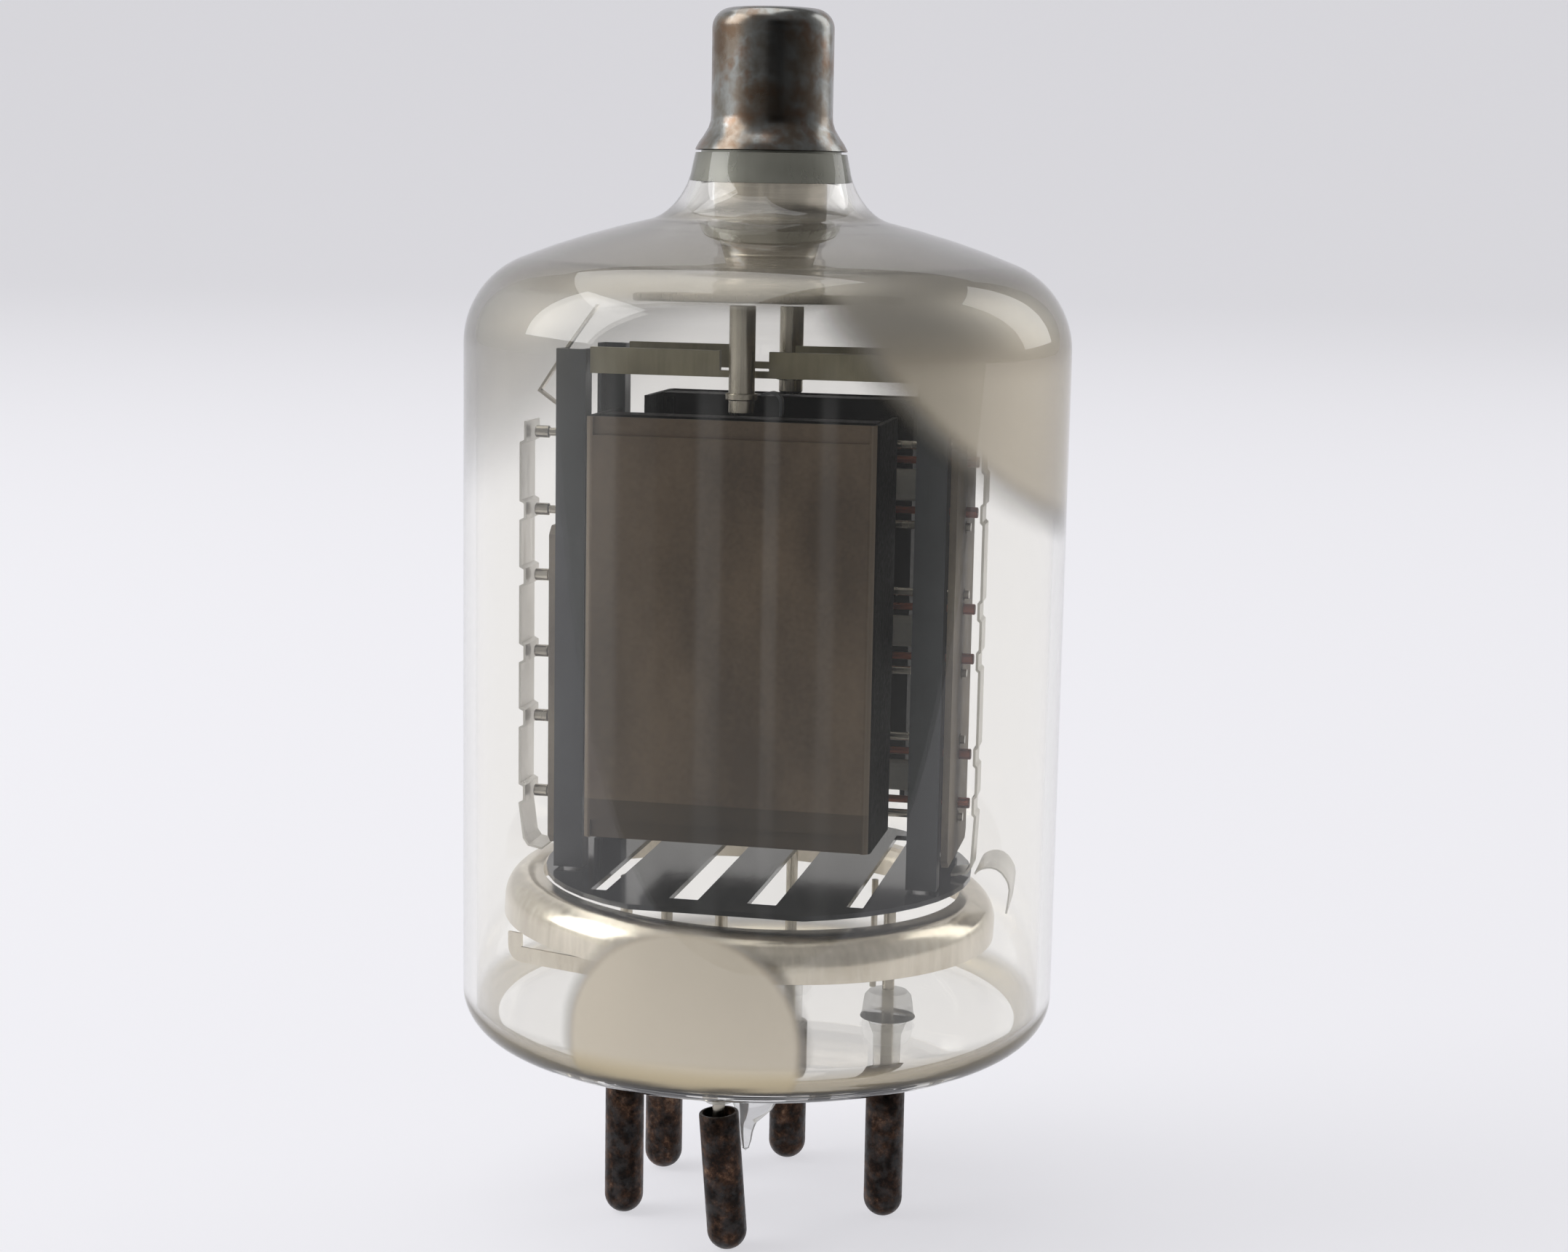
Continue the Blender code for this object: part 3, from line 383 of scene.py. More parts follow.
# %% Corroded pins
def corroded_pin():
    """Dark, pitted plating that shines where it is whole and is dull and rusty where it has gone."""
    made = new_material("corroded_pin_plating")
    cloud = add(made, "Math", spots(made, 1.5, 6, 0.62), 0.6, operation="MULTIPLY")
    grain = spots(made, 0.35, 5, 0.7)
    pits = spots(made, 0.8, 4, 0.6, shift=(2, 5, 1))
    mixed = add(made, "Math", grain, 0.45, cloud, operation="MULTIPLY_ADD")
    colour = add(made, "ValToRGB", mixed, stops=((0.42, paint("0f0b09")), (0.50, paint("231812")),
                                                 (0.57, paint("3d2b20")), (0.63, paint("5f4636")),
                                                 (0.72, paint("957a63"))))
    shine = add(made, "ValToRGB", pits, stops=((0.45, grey(0.8)), (0.62, grey(0.15))))
    rough = add(made, "MapRange", grain, 0.35, 0.65, 0.26, 0.55)
    relief = add(made, "Bump", Strength=0.5, Distance=6 * relief_depth, Height=mixed)
    shader = add(made, "BsdfPrincipled", Base_Color=colour, Metallic=shine, Roughness=rough, Normal=relief)
    add(made, "OutputMaterial", shader)
    return made


pin_plating = corroded_pin()
print("outer metals ready")

# %% [markdown]
# ## Glass
# The bulb is blown hard glass. A lamp's light reaches what stands inside it, so for shadow and diffuse rays
# the glass lets light straight through instead of bending it, which a renderer does slowly.

# %% Blown glass
glass_index = 1.48


def blown_glass(name, tint, roughness=0.0, clearness=1.0, cover=1.0):
    """Glass that bends light: clearness is how much passes through, and cover is how much of it is there."""
    made = new_material(name)
    body = add(made, "BsdfPrincipled", Base_Color=paint(tint), Roughness=roughness, IOR=glass_index,
               Transmission_Weight=clearness, Alpha=cover)
    straight = add(made, "BsdfTransparent", (0.96, 0.96, 0.955, 1))
    rays = add(made, "LightPath").outputs
    soft = add(made, "Math", rays["Is Shadow Ray"], rays["Is Diffuse Ray"], operation="MAXIMUM")
    add(made, "OutputMaterial", add(made, "MixShader", soft, body, straight))
    return made


# clear, with a trace of yellow where one looks through much of it
hard_glass = blown_glass("blown_hard_glass", "fcfbf7")
# where the glass was pressed round the leads its skin is rough, so that it looks milky. It covers only
# half, as the fine bubbles in it do
pressed_glass = blown_glass("pressed_milky_glass", "fbfaf6", 0.5, 0.6, 0.5)
# the drawn tip is full of fine lines, which make it whiter than the wall
drawn_glass = blown_glass("drawn_tip_glass", "ffffff", 0.08, 0.8)
print("glass ready")

# %% [markdown]
# ## The glass envelope
# Bulb and base are one body of glass: the bulb's wall runs round a soft corner into the pressed base. Its
# half section is drawn from the axis out along the inside, over the neck's edge and back along the outside,
# then spun in 144 steps, so that no facet shows in the glass's edge.

# %% Envelope section
glass_steps = 144
bulb_radius = 36.2 * mm
bulb_wall = 1.5 * mm
bulb_bottom = 23.5 * mm
bulb_corner = 5.0 * mm
base_thick = 2.2 * mm
floor_top = bulb_bottom + base_thick
neck_top = 129.5 * mm
neck_radius = 9 * mm
neck_fillet = 6.3 * mm
neck_flare, neck_swell = 0.35 * mm, 0.5 * mm
shoulder_round = 11 * mm
shoulder_height = 106.8 * mm
bow_radius = 92 * mm
# where the shoulder's round passes into the flat bow, in degrees above level
bow_angle = 68


def bulb_line(inset, steps=4):
    """The glass from the top of the neck down to the edge of the base, moved inwards by inset."""
    shoulder = (bulb_radius - shoulder_round, shoulder_height)
    reach = bow_radius - shoulder_round
    bow = (shoulder[0] - reach * cos(radians(bow_angle)), shoulder[1] - reach * sin(radians(bow_angle)))
    span = bow_radius + neck_fillet
    end = asin((neck_radius + neck_fillet - bow[0]) / span)
    fillet = (neck_radius + neck_fillet, bow[1] + span * cos(end))
    line = [(neck_radius - inset, neck_top)]
    bend = arc(fillet, neck_fillet + inset, 180, 270 - degrees(end), 3 * steps)
    for number, (r, z) in enumerate(bend):
        share = number / len(bend)
        line.append((r + neck_flare * (1 - share) + neck_swell * sin(pi * share), z))
    line += arc(bow, bow_radius - inset, 90 - degrees(end), bow_angle, steps)[1:]
    line += arc(shoulder, shoulder_round - inset, bow_angle, 0, 5 * steps)[1:]
    deep = base_thick * inset / bulb_wall
    corner = bulb_corner - deep
    line += arc((bulb_radius - inset - corner, bulb_bottom + deep + corner), corner, 0, -90, 3 * steps)
    return line


# the flat faces get a second loop close to each end, so that smooth shading leaves them flat and they don't
# bend light
inside = [(0, floor_top), (30.8 * mm, floor_top)]
underside = [(30.6 * mm, bulb_bottom), (0, bulb_bottom)]
envelope = lathe("envelope", inside + bulb_line(bulb_wall)[::-1] + bulb_line(0) + underside, glass_steps)
print("envelope", len(envelope.data.vertices), "points")

# %% [markdown]
# The exhaust tip was drawn off with a flame and never comes out straight. It is turned as a blob with a
# thin spike, and then the points below a height are moved to one side step by step, as the glass was
# pulled.

# %% Pulled exhaust tip
# the tip's half width and how far below the base it has it, in millimetres
tip_widths = ((3.9, -0.6), (3.7, 0.6), (3.5, 3.0), (3.3, 6.0), (3.1, 8.6), (2.9, 10.2), (2.5, 11.4),
              (1.9, 12.4), (1.25, 13.4), (0.95, 14.6), (0.75, 15.8), (0.45, 16.8))
tip_end = 6.3 * mm
# each pull: below which height, and how far along X
tip_pulls = ((13.0, -0.2), (11.8, -0.4), (10.8, -0.4), (9.0, -0.1))
tip_line = [(0, bulb_bottom + 0.6 * mm)] + [(wide * mm, bulb_bottom - drop * mm) for wide, drop in tip_widths]
tip = lathe("tip", tip_line + [(0, tip_end)], 40)
for level, shift in tip_pulls:
    picked(tip, lambda place: place.z < level * mm)
    bpy.ops.transform.translate(value=(shift * mm, 0.1 * mm, 0))
    bpy.ops.object.mode_set(mode="OBJECT")
tip.data.materials.append(drawn_glass)

# %% [markdown]
# Each lead passes through a boss of glass that was pressed round it, and below the base a nub of the same
# glass enters the pin. They are turned one by one and melted into the envelope, with the tip, by a boolean
# union. It keeps their rougher glass.

# %% Bosses and nubs
pin_circle = 16.6 * mm
pin_turns = {"front": -15, "left_front": -75, "left_rear": -135, "rear": 165, "right": 75}
boss_height = 3.4 * mm
nub_length = 9.5 * mm
front_nub_length = 5.2 * mm


def pin_place(pin):
    """Where a pin stands on the pin circle."""
    angle = radians(pin_turns[pin])
    return (pin_circle * sin(angle), -pin_circle * cos(angle), 0)


def boss(name, nub):
    """A rounded boss on the base, with a nub of the given length below it."""
    top = floor_top + boss_height
    return lathe(name, [(0, top), (1.6 * mm, top), (2.4 * mm, top - 0.25 * mm), (2.85 * mm, top - 0.8 * mm),
                        (3.0 * mm, top - 1.6 * mm), (3.15 * mm, floor_top + 0.5 * mm),
                        (3.5 * mm, floor_top - 0.3 * mm), (2.6 * mm, bulb_bottom + 0.6 * mm),
                        (2.2 * mm, bulb_bottom - 0.5 * mm), (1.7 * mm, bulb_bottom - 1.8 * mm),
                        (1.6 * mm, bulb_bottom - nub), (0, bulb_bottom - nub)], 40)


bosses = [placed(boss("boss_" + pin, front_nub_length if pin == "front" else nub_length), pin_place(pin))
          for pin in pin_turns]
bosses = joined(*bosses)
envelope.data.materials.append(hard_glass)
bosses.data.materials.append(pressed_glass)
bosses = joined(bosses, tip)
modified(envelope, "BOOLEAN", operation="UNION", solver="EXACT", material_mode="TRANSFER", object=bosses)
bpy.data.objects.remove(bosses)
smooth(envelope, 30)
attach(envelope, "root")
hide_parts("glass_bulb", "glass_stem")
print("envelope", len(envelope.data.polygons), "faces")

# %% [markdown]
# ## The getter mirrors
# Before the tube was sealed off, barium was flashed from the getters onto the glass. It lies on the inside
# as a thin metal film: a mirror in front of each getter, thinning out to a dark, smoky rim, and a grey
# breath over the dome and the lower corner. Here it is one skin a hair within the glass, as there is no air
# between the two, and its alpha says how thick the film is at each height and angle.

# %% Film on the glass
film_depth = 0.06 * mm
film_top = 125 * mm
# the setting for a smooth change between two limits instead of a straight one
soft_step = {"interpolation_type": "SMOOTHSTEP"}
foot_low, foot_high = 26.6 * mm, 29.2 * mm
# each patch: angle in degrees, then height, size and soft rim in millimetres, and its thickness up to 1
film_patches = ((-14.2, 30.0, 15.4, 2.6, 1.0), (-98, 138, 53, 15.0, 0.42), (150, 112, 14, 9, 0.35))
right_patch = (86, 140.3, 56.2, 6.0, 0.98)


def flashed_film():
    """Barium on glass: a soft, pale mirror where it is thick, and a brown-grey veil where it is thin."""
    made = new_material("flashed_barium_film")
    place = add(made, "SeparateXYZ", add(made, "TexCoord").outputs["Object"]).outputs
    height = place["Z"]
    forward = add(made, "Math", place["Y"], -1.0, operation="MULTIPLY")
    angle = add(made, "Math", place["X"], forward, operation="ARCTAN2")
    wander = add(made, "Math", spots(made, 9, 3), 0.96, -0.48, operation="MULTIPLY_ADD")

    def patch(turn, level, size, soft, most):
        """A round patch at an angle and a height, as large as size and fading over soft, in millimetres."""
        away = add(made, "Math", angle, radians(turn), operation="SUBTRACT")
        away = add(made, "Math", away, operation="ABSOLUTE")
        back = add(made, "Math", 2 * pi, away, operation="SUBTRACT")
        away = add(made, "Math", away, back, operation="MINIMUM")
        away = add(made, "Math", away, (bulb_radius - bulb_wall) / mm, operation="MULTIPLY")
        up = add(made, "Math", height, 1 / mm, -level, operation="MULTIPLY_ADD")
        square = add(made, "Math", up, up, operation="MULTIPLY")
        square = add(made, "Math", away, away, square, operation="MULTIPLY_ADD")
        far = add(made, "Math", add(made, "Math", square, operation="SQRT"), wander, operation="ADD")
        return add(made, "MapRange", far, size - soft, size, most, 0, **soft_step)

    # the right patch turns into a veil where the bulb's shoulder begins
    fading = add(made, "MapRange", height, 112 * mm, 118.5 * mm, 1, 0.5, **soft_step)
    right = add(made, "Math", patch(*right_patch), fading, operation="MULTIPLY")
    # the dome is smoky all round, from the shoulder up to the neck, and thicker here and there
    rise = add(made, "MapRange", height, 110.5 * mm, 114.5 * mm, **soft_step)
    fall = add(made, "MapRange", height, 121.0 * mm, 123.2 * mm, 1, 0, **soft_step)
    dome = add(made, "Math", rise, fall, operation="MULTIPLY")
    smoke = add(made, "MapRange", spots(made, 14, 3), 0.3, 0.7, 0.42, 0.72)
    dome = add(made, "Math", dome, smoke, operation="MULTIPLY")
    thick = add(made, "MapRange", height, foot_low, foot_high, 0.6, 0, **soft_step)
    for more in (right, dome, *[patch(*numbers) for numbers in film_patches]):
        thick = add(made, "Math", thick, more, operation="MAXIMUM")
    bare_neck = add(made, "MapRange", height, 121 * mm, 123.4 * mm, 1, 0, **soft_step)
    thick = add(made, "Math", thick, bare_neck, operation="MULTIPLY")

    # the colour follows the thickness. It is darker on the dome, and tan in the lower corner
    darker = add(made, "MapRange", height, 104 * mm, 112 * mm, 1, 0.6, **soft_step)
    tone = add(made, "Math", thick, darker, operation="MULTIPLY")
    colour = add(made, "ValToRGB", tone, stops=((0.1, paint("58554f")), (0.3, paint("8f897d")),
                                                (0.6, paint("aba69d")), (0.85, paint("c0b7a7")),
                                                (1.0, paint("d6cdbc"))))
    low = add(made, "MapRange", height, foot_low, foot_high, 1, 0, **soft_step)
    colour = add(made, "Mix", low, colour, paint("cdbf9f"), data_type="RGBA")
    shader = add(made, "BsdfPrincipled", Base_Color=colour, Metallic=1.0, Roughness=0.27, Alpha=thick)
    add(made, "OutputMaterial", shader)
    return made


barium_film = flashed_film()
skin_line = [point for point in bulb_line(bulb_wall - film_depth) if point[1] < film_top]
film = lathe("getter_film", skin_line, glass_steps)
dressed(smooth(film, 60), barium_film, "bright_nickel")

# %% [markdown]
# ## The anode cap
# The cap is a drawn thimble. Its rim flares to meet the neck, and from there a thin edge of the same metal
# runs on within the glass wall, which is how such metal and glass are sealed together. The glass in front
# of it works as a lens, so the thin grey edge seems to fill the whole neck.

# %% Cap and sealed edge
cap_top = 146.39 * mm
cap_radius, cap_round = 7.19 * mm, 2.29 * mm
cap_foot = 129.8 * mm
cap_line = [(0, cap_top), (3.4 * mm, cap_top - 0.05 * mm)]
cap_line += arc((cap_radius - cap_round, cap_top - 2.4 * mm), cap_round, 84, 0, 12)
cap_line += [(cap_radius, 138 * mm), (cap_radius, 133.9 * mm), (7.24 * mm, 133.2 * mm),
             (7.5 * mm, 132.4 * mm), (8.1 * mm, 131.4 * mm), (8.6 * mm, 130.7 * mm), (8.92 * mm, 130.1 * mm),
             (9.03 * mm, 129.85 * mm), (8.95 * mm, cap_foot), (7.4 * mm, cap_foot), (6.9 * mm, 130.6 * mm),
             (6.64 * mm, 133.4 * mm), (6.64 * mm, 144.0 * mm), (5.2 * mm, 145.7 * mm), (0, 145.8 * mm)]
cap = lathe("cap", cap_line, 128)
dressed(smooth(cap, 40), cap_nickel, "tarnished_nickel", "anode_cap")

# the sealed edge is matte and grey, as the glass has wetted it
edge_metal = metal("matte_sealed_edge", "85857c", "9d9d94", 0.3, 0.8, (1, 1, 0.2), 0.85, 0.1)
edge_line = [(8.3 * mm, 129.75 * mm), (8.3 * mm, 127.8 * mm), (8.6 * mm, 125.9 * mm), (8.5 * mm, 125.85 * mm),
             (8.15 * mm, 127.8 * mm), (8.15 * mm, 129.75 * mm)]
edge = lathe("cap_edge", edge_line, closed=True)
dressed(smooth(edge), edge_metal, "tarnished_nickel", "anode_cap")

# %% [markdown]
# ## Stud, disc and hanging rods
# These carry the anodes from the cap. They are turned parts, so each is one outline on the lathe, with the
# small chamfers and the groove that catch the light.

# %% Turned stud and disc
disc_low, disc_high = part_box("anode_disc")
disc_bottom, disc_top = disc_low[2], disc_high[2]
disc_radius, disc_rim = 16.2 * mm, 0.4 * mm
stud_radius = 6.7 * mm
stud_top = 131.5 * mm
stud_foot = disc_top + 0.3 * mm
stud_line = [(0, stud_top), (6.0 * mm, stud_top), (6.1 * mm, 131.4 * mm), (6.1 * mm, 127.6 * mm),
             (6.25 * mm, 127.3 * mm), (6.55 * mm, 127.05 * mm), (stud_radius, 126.8 * mm),
             (stud_radius, 118.9 * mm), (6.62 * mm, 118.6 * mm), (6.25 * mm, 118.3 * mm),
             (6.2 * mm, 118.0 * mm), (6.2 * mm, 117.5 * mm), (6.3 * mm, 117.3 * mm), (6.66 * mm, 117.05 * mm),
             (stud_radius, 116.9 * mm), (stud_radius, stud_foot + 0.5 * mm),
             (6.55 * mm, stud_foot + 0.1 * mm), (6.3 * mm, stud_foot), (0, stud_foot)]
stud = lathe("stud", stud_line)
dressed(smooth(stud, 30), turned_nickel, "bright_nickel", "anode_stub")

disc_line = [(0, disc_top), (15.2 * mm, disc_top), (15.6 * mm, disc_top - 0.05 * mm)]
disc_line += arc((disc_radius - disc_rim, disc_top - disc_rim), disc_rim, 75, 0, 5)
disc_line += arc((disc_radius - disc_rim, disc_bottom + disc_rim), disc_rim, 0, -90, 5)
disc_line += [(0, disc_bottom)]
disc = lathe("disc", disc_line, 128)
dressed(smooth(disc, 30), shade_dark_disc_nickel, "bright_nickel", "anode_disc")

# %% [markdown]
# The electrodes stand a little turned in the bulb. Everything that belongs to them is made square to the
# axes and then given that turn.

# %% Hanging rods
electrode_turn = radians(-12)
rod_offset = 14.1 * mm
rod_radius, collar_radius = 1.5 * mm, 1.85 * mm

for name, side in (("front", -1), ("rear", 1)):
    low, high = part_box("anode_rod_" + name)
    foot, top = low[2], high[2]
    rod_line = [(0, top), (1.4 * mm, top), (rod_radius, top - 0.1 * mm), (rod_radius, foot + 2.5 * mm),
                (1.78 * mm, foot + 2.45 * mm), (collar_radius, foot + 2.35 * mm),
                (collar_radius, foot + 1.8 * mm), (1.78 * mm, foot + 1.7 * mm),
                (rod_radius, foot + 1.65 * mm), (rod_radius, foot + 0.3 * mm), (1.25 * mm, foot), (0, foot)]
    rod = lathe("hanging_rod_" + name, rod_line, 48)
    offset = side * rod_offset
    placed(rod, (-offset * sin(electrode_turn), offset * cos(electrode_turn), 0))
    dressed(smooth(rod, 30), nickel_rod, "bright_nickel", "anode_rod_" + name)

# %% [markdown]
# ## Base ring
# A band of bright sheet was rolled into a ring, with its top edge turned inwards. It hangs slightly aslant,
# which the CAD node shows too: the ring is turned upright first and then tilted.

# %% Rolled ring
ring_radius, ring_round, ring_sheet, ring_height = 30.1 * mm, 3.0 * mm, 0.5 * mm, 5.2 * mm
ring_lip = 1.2 * mm
ring_place, ring_tilt = (-1.1 * mm, 0, 37.0 * mm), radians(2.3)
crown = (ring_radius - ring_sheet / 2 - ring_round, ring_height - ring_sheet / 2 - ring_round)
ring_line = [(crown[0] - ring_lip, ring_height)] + arc(crown, ring_round + ring_sheet / 2, 90, 0, 14)
ring_line += [(ring_radius, 1.2 * mm), (ring_radius, 0.05 * mm), (ring_radius - 0.1 * mm, 0),
              (ring_radius - ring_sheet, 0)]
ring_line += arc(crown, ring_round - ring_sheet / 2, 0, 90, 14)
ring_line += [(crown[0] - ring_lip, ring_height - ring_sheet)]
ring = lathe("ring", ring_line, 160, closed=True)
placed(ring, ring_place, (0, ring_tilt, 0))
dressed(smooth(ring, 30), bright_nickel, "bright_nickel", "base_ring")

# %% [markdown]
# ## Pins and leads
# The pins are thin tubes drawn to a round tip. The front one has slipped off its nub and leans, with its
# open end showing below the glass. The leads are straight rods that end under the base plate.

# %% Hollow pins
pin_radius, pin_sheet = 2.375 * mm, 0.4 * mm
pin_top = 17.0 * mm
pin_lean = radians(4.7)
pin_line = [(1.98 * mm, pin_top), (2.1 * mm, pin_top + 0.02 * mm), (2.28 * mm, pin_top),
            (pin_radius, 16.85 * mm), (pin_radius, 12 * mm), (pin_radius, 7 * mm)]
pin_line += arc((0, pin_radius), pin_radius, 0, -90, 12)
pin_line += [(0, pin_sheet)] + arc((0, pin_radius), pin_radius - pin_sheet, -85, 0, 8)
pin_model = lathe("pin", pin_line, 64)
# a band of faces from the hollow's foot up to the rim closes the inside wall
picked(pin_model, lambda place: False)
bpy.ops.mesh.select_non_manifold()
bpy.ops.mesh.bridge_edge_loops()
cleaned()
for pin in pin_turns:
    x, y, _ = pin_place(pin)
    made = copied(pin_model, "pin_" + pin)
    if pin == "front":
        placed(made, (x + pin_top * sin(pin_lean), y, pin_radius * (1 - cos(pin_lean))), (0, -pin_lean, 0))
    else:
        placed(made, (x, y, 0), (0, 0, radians(40 * pin_turns[pin])))
    dressed(smooth(made), pin_plating, "corroded_pin_brass", "contact_pin_" + pin)
bpy.data.objects.remove(pin_model)

# %% Lead rods
lead_radius, lead_chamfer = 0.75 * mm, 0.1 * mm
for pin in pin_turns:
    low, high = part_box("lead_rod_" + pin)
    foot, top = low[2], high[2]
    lead_line = [(0, top), (lead_radius - lead_chamfer, top), (lead_radius, top - lead_chamfer),
                 (lead_radius, foot), (0, foot)]
    lead = placed(lathe("lead_" + pin, lead_line, 32), pin_place(pin))
    dressed(smooth(lead, 30), nickel_rod, "bright_nickel", "lead_rod_" + pin)

# %% [markdown]
# ## Grids
# Each unit has a screen grid and, inside it, a control grid: two side rods with fine wire wound round both.
# The real wire is about a tenth of a millimetre and its turns lie closer than they are drawn here, because
# finer ones would melt together in the picture. One grid of each kind is made in the middle and copied to
# the three heights.

# %% Grid rods and windings
unit_heights = [90.9 * mm, 73.3 * mm, 55.7 * mm]
winding_pitch, winding_turns, winding_radius = 1.1 * mm, 28, 0.08 * mm
winding_corner = 0.6 * mm
chamfer = 0.1 * mm


def grid(name, finish, spread, radius, half_thick, start, end, head_length, head_radius):
    """Side rods from start to end along X, with a thicker head at the end, and their winding, at height 0."""
    side = 1 if end > start else -1
    length = abs(end - start)
    outline = [(0, length), (head_radius - chamfer, length), (head_radius, length - chamfer),
               (head_radius, length - head_length), (radius, length - head_length - chamfer), (radius, 0),
               (0, 0)]
    rods = []
    for level in (spread, -spread):
        rod = lathe(name + "_rod", outline, 24)
        rods.append(placed(rod, (start, 0, level), (0, side * pi / 2, 0)))
    top = spread + 0.9 * radius
    bend = spread - winding_corner
    loop = [(0, top), (half_thick, bend), (half_thick, -bend), (0, -top), (-half_thick, -bend),
            (-half_thick, bend)]
    corners = len(loop)
    points = [((step / corners - winding_turns / 2) * winding_pitch, *loop[step % corners])
              for step in range(corners * winding_turns + 1)]
    winding = wire(name + "_winding", points, winding_radius)
    winding.data.materials.append(winding_wire)
    for rod in rods:
        rod.data.materials.append(finish)
    return smooth(joined(*rods, winding), 40)


screen_model = grid("screen", nickel_rod, spread=4.75 * mm, radius=0.5 * mm, half_thick=2.3 * mm,
                    start=25.0 * mm, end=-29.0 * mm, head_length=1.7 * mm, head_radius=0.75 * mm)
control_model = grid("control", grid_copper, spread=3.0 * mm, radius=0.45 * mm, half_thick=1.45 * mm,
                     start=-25.0 * mm, end=25.8 * mm, head_length=1.4 * mm, head_radius=0.65 * mm)
for number, unit in enumerate(unit_heights, 1):
    for model, slot, node in ((screen_model, "bright_nickel", "screen_grid_%d" % number),
                              (control_model, "grid_copper", "control_grid_%d" % number)):
        made = placed(copied(model, node + "_wound"), (0, 0, unit), (0, 0, electrode_turn))
        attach(made, "root")
        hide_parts(node)
        print(made.name, len(made.data.polygons), "faces")
for model in (screen_model, control_model):
    bpy.data.objects.remove(model)

# %% [markdown]
# ## Bulb spacer
# A leaf of thin spring sheet arches from the right strap over the ring and leans on the glass side. Its
# line is drawn as a smooth curve and extruded sideways, then given its thickness.

# %% Leaf spring
spring_width, spring_sheet = 9.0 * mm, 0.2 * mm
root, reach, level = 27.15 * mm, 31.2 * mm, 45.1 * mm
spring_line = [(root, level), (root + 0.25 * mm, level + 0.35 * mm), (root + 0.7 * mm, level + 0.65 * mm),
               (root + 1.3 * mm, level + 0.85 * mm), (root + 1.9 * mm, level + 0.9 * mm),
               (root + 2.5 * mm, level + 0.75 * mm), (root + 3.1 * mm, level + 0.35 * mm),
               (root + 3.6 * mm, level - 0.3 * mm), (root + 3.9 * mm, level - 0.9 * mm),
               (reach, level - 1.7 * mm), (reach - 0.1 * mm, level - 3.0 * mm),
               (reach - 0.3 * mm, level - 4.6 * mm)]
spring = strip("spring", spring_line, spring_width, spring_sheet)
placed(spring, rotation=(0, 0, electrode_turn))
dressed(smooth(spring, 40), strap_nickel, "bright_nickel", "bulb_spacer")

# %% [markdown]
# ## The CAD nodes that stay
# The anodes, posts, bars, plates and straps are folded or cut sheet and already have their true shape, so
# they only get their finish.

# %% The anodes' coat, with painted shade and a painted highlight
face_depth = 19.35 * mm
face_half_width = 16.7 * mm
# where the painted highlight on the rims at the sides of the face begins and ends
rim_highlight_from, rim_highlight_to = 16.0 * mm, 16.3 * mm
hem_top = 54.9 * mm


def folded_anode():
    """Brown carbon on the flat face. The sides and the inside are painted nearly black as painted shade,
    since little light comes back from there.
    """
    made = new_material("carbonised_anode_painted_light")
    cloud = add(made, "Math", spots(made, 5, 3, 0.5, (1, 1, 0.4)), 0.75, operation="MULTIPLY")
    grain = spots(made, 0.3, 4, 0.7)
    mixed = add(made, "Math", grain, 0.3, cloud, operation="MULTIPLY_ADD")
    face = add(made, "ValToRGB", mixed, stops=((0.40, paint("4f4236")), (0.66, paint("70604f"))))
    where = add(made, "TexCoord").outputs["Object"]
    turned = add(made, "Mapping", Vector=where, Rotation=(0, 0, -electrode_turn))
    place = add(made, "SeparateXYZ", turned).outputs
    across = add(made, "Math", place["X"], operation="ABSOLUTE")
    depth = add(made, "Math", place["Y"], operation="ABSOLUTE")
    in_front = add(made, "Math", depth, face_depth, operation="GREATER_THAN")
    between = add(made, "Math", across, face_half_width, operation="LESS_THAN")
    flat_face = add(made, "Math", in_front, between, operation="MULTIPLY")
    # painted shade and painted highlight: the folded edge below is painted darker, and the rims at the sides
    # of the face are painted lighter where the sheet bends
    hem = add(made, "Math", place["Z"], hem_top, operation="LESS_THAN")
    hem = add(made, "Math", hem, 0.6, operation="MULTIPLY")
    rim_highlight = add(made, "MapRange", across, rim_highlight_from, rim_highlight_to, 0, 0.5, **soft_step)
    face = add(made, "Mix", hem, face, paint("2b241d"), data_type="RGBA")
    face = add(made, "Mix", rim_highlight, face, paint("857868"), data_type="RGBA")
    # painted shade: everything but the flat face is painted nearly black
    colour = add(made, "Mix", flat_face, paint("0a0807"), face, data_type="RGBA")
    metallic = add(made, "Math", flat_face, 0.2, operation="MULTIPLY")
    gleam = add(made, "Math", flat_face, 0.45, 0.05, operation="MULTIPLY_ADD")
    rough = add(made, "MapRange", grain, 0.3, 0.7, 0.42, 0.62)
    relief = add(made, "Bump", Strength=0.15, Distance=relief_depth, Height=grain)
    shader = add(made, "BsdfPrincipled", Base_Color=colour, Metallic=metallic, Roughness=rough,
                 Specular_IOR_Level=gleam, Normal=relief)
    add(made, "OutputMaterial", shader)
    return made


anode_finish = folded_anode()

# %% Materials for the CAD nodes that stay
kept = {
    strap_nickel: ["screen_grid_strap", "control_grid_strap"],
    bright_nickel: ["getter_strip_left", "getter_strip_right", "getter_cup", "getter_bracket"],
    nickel_rod: ["getter_lead"],
    dull_nickel: ["top_bar_front", "top_bar_rear"],
    blackened_steel: ["cage_post_front_left", "cage_post_front_right", "cage_post_rear_left",
                      "cage_post_rear_right", "anode_clip_front", "cathode_clip_1", "cathode_clip_2",
                      "cathode_clip_3"],
    plate_steel: ["base_plate"],
    anode_finish: ["anode_front", "anode_rear", "anode_hanger_front", "anode_hanger_rear"],
    mica_plate: ["side_plate_left", "side_plate_right"],
    cathode_oxide: ["cathode_1", "cathode_2", "cathode_3"],
    heater_coat: ["heater_1", "heater_2", "heater_3"],
}
for finish, names in kept.items():
    for name in names:
        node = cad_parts[name]
        node.data.materials.clear()
        node.data.materials.append(finish)
print("CAD nodes dressed:", sum(len(names) for names in kept.values()))

# %% [markdown]
# ## Floor, backdrop and light
# The tube stands on a white sweep: paper that runs from the table up behind it. Light comes from all sides,
# a little more from the left and from behind, so the floor shows only a faint shadow to the front and
# right.

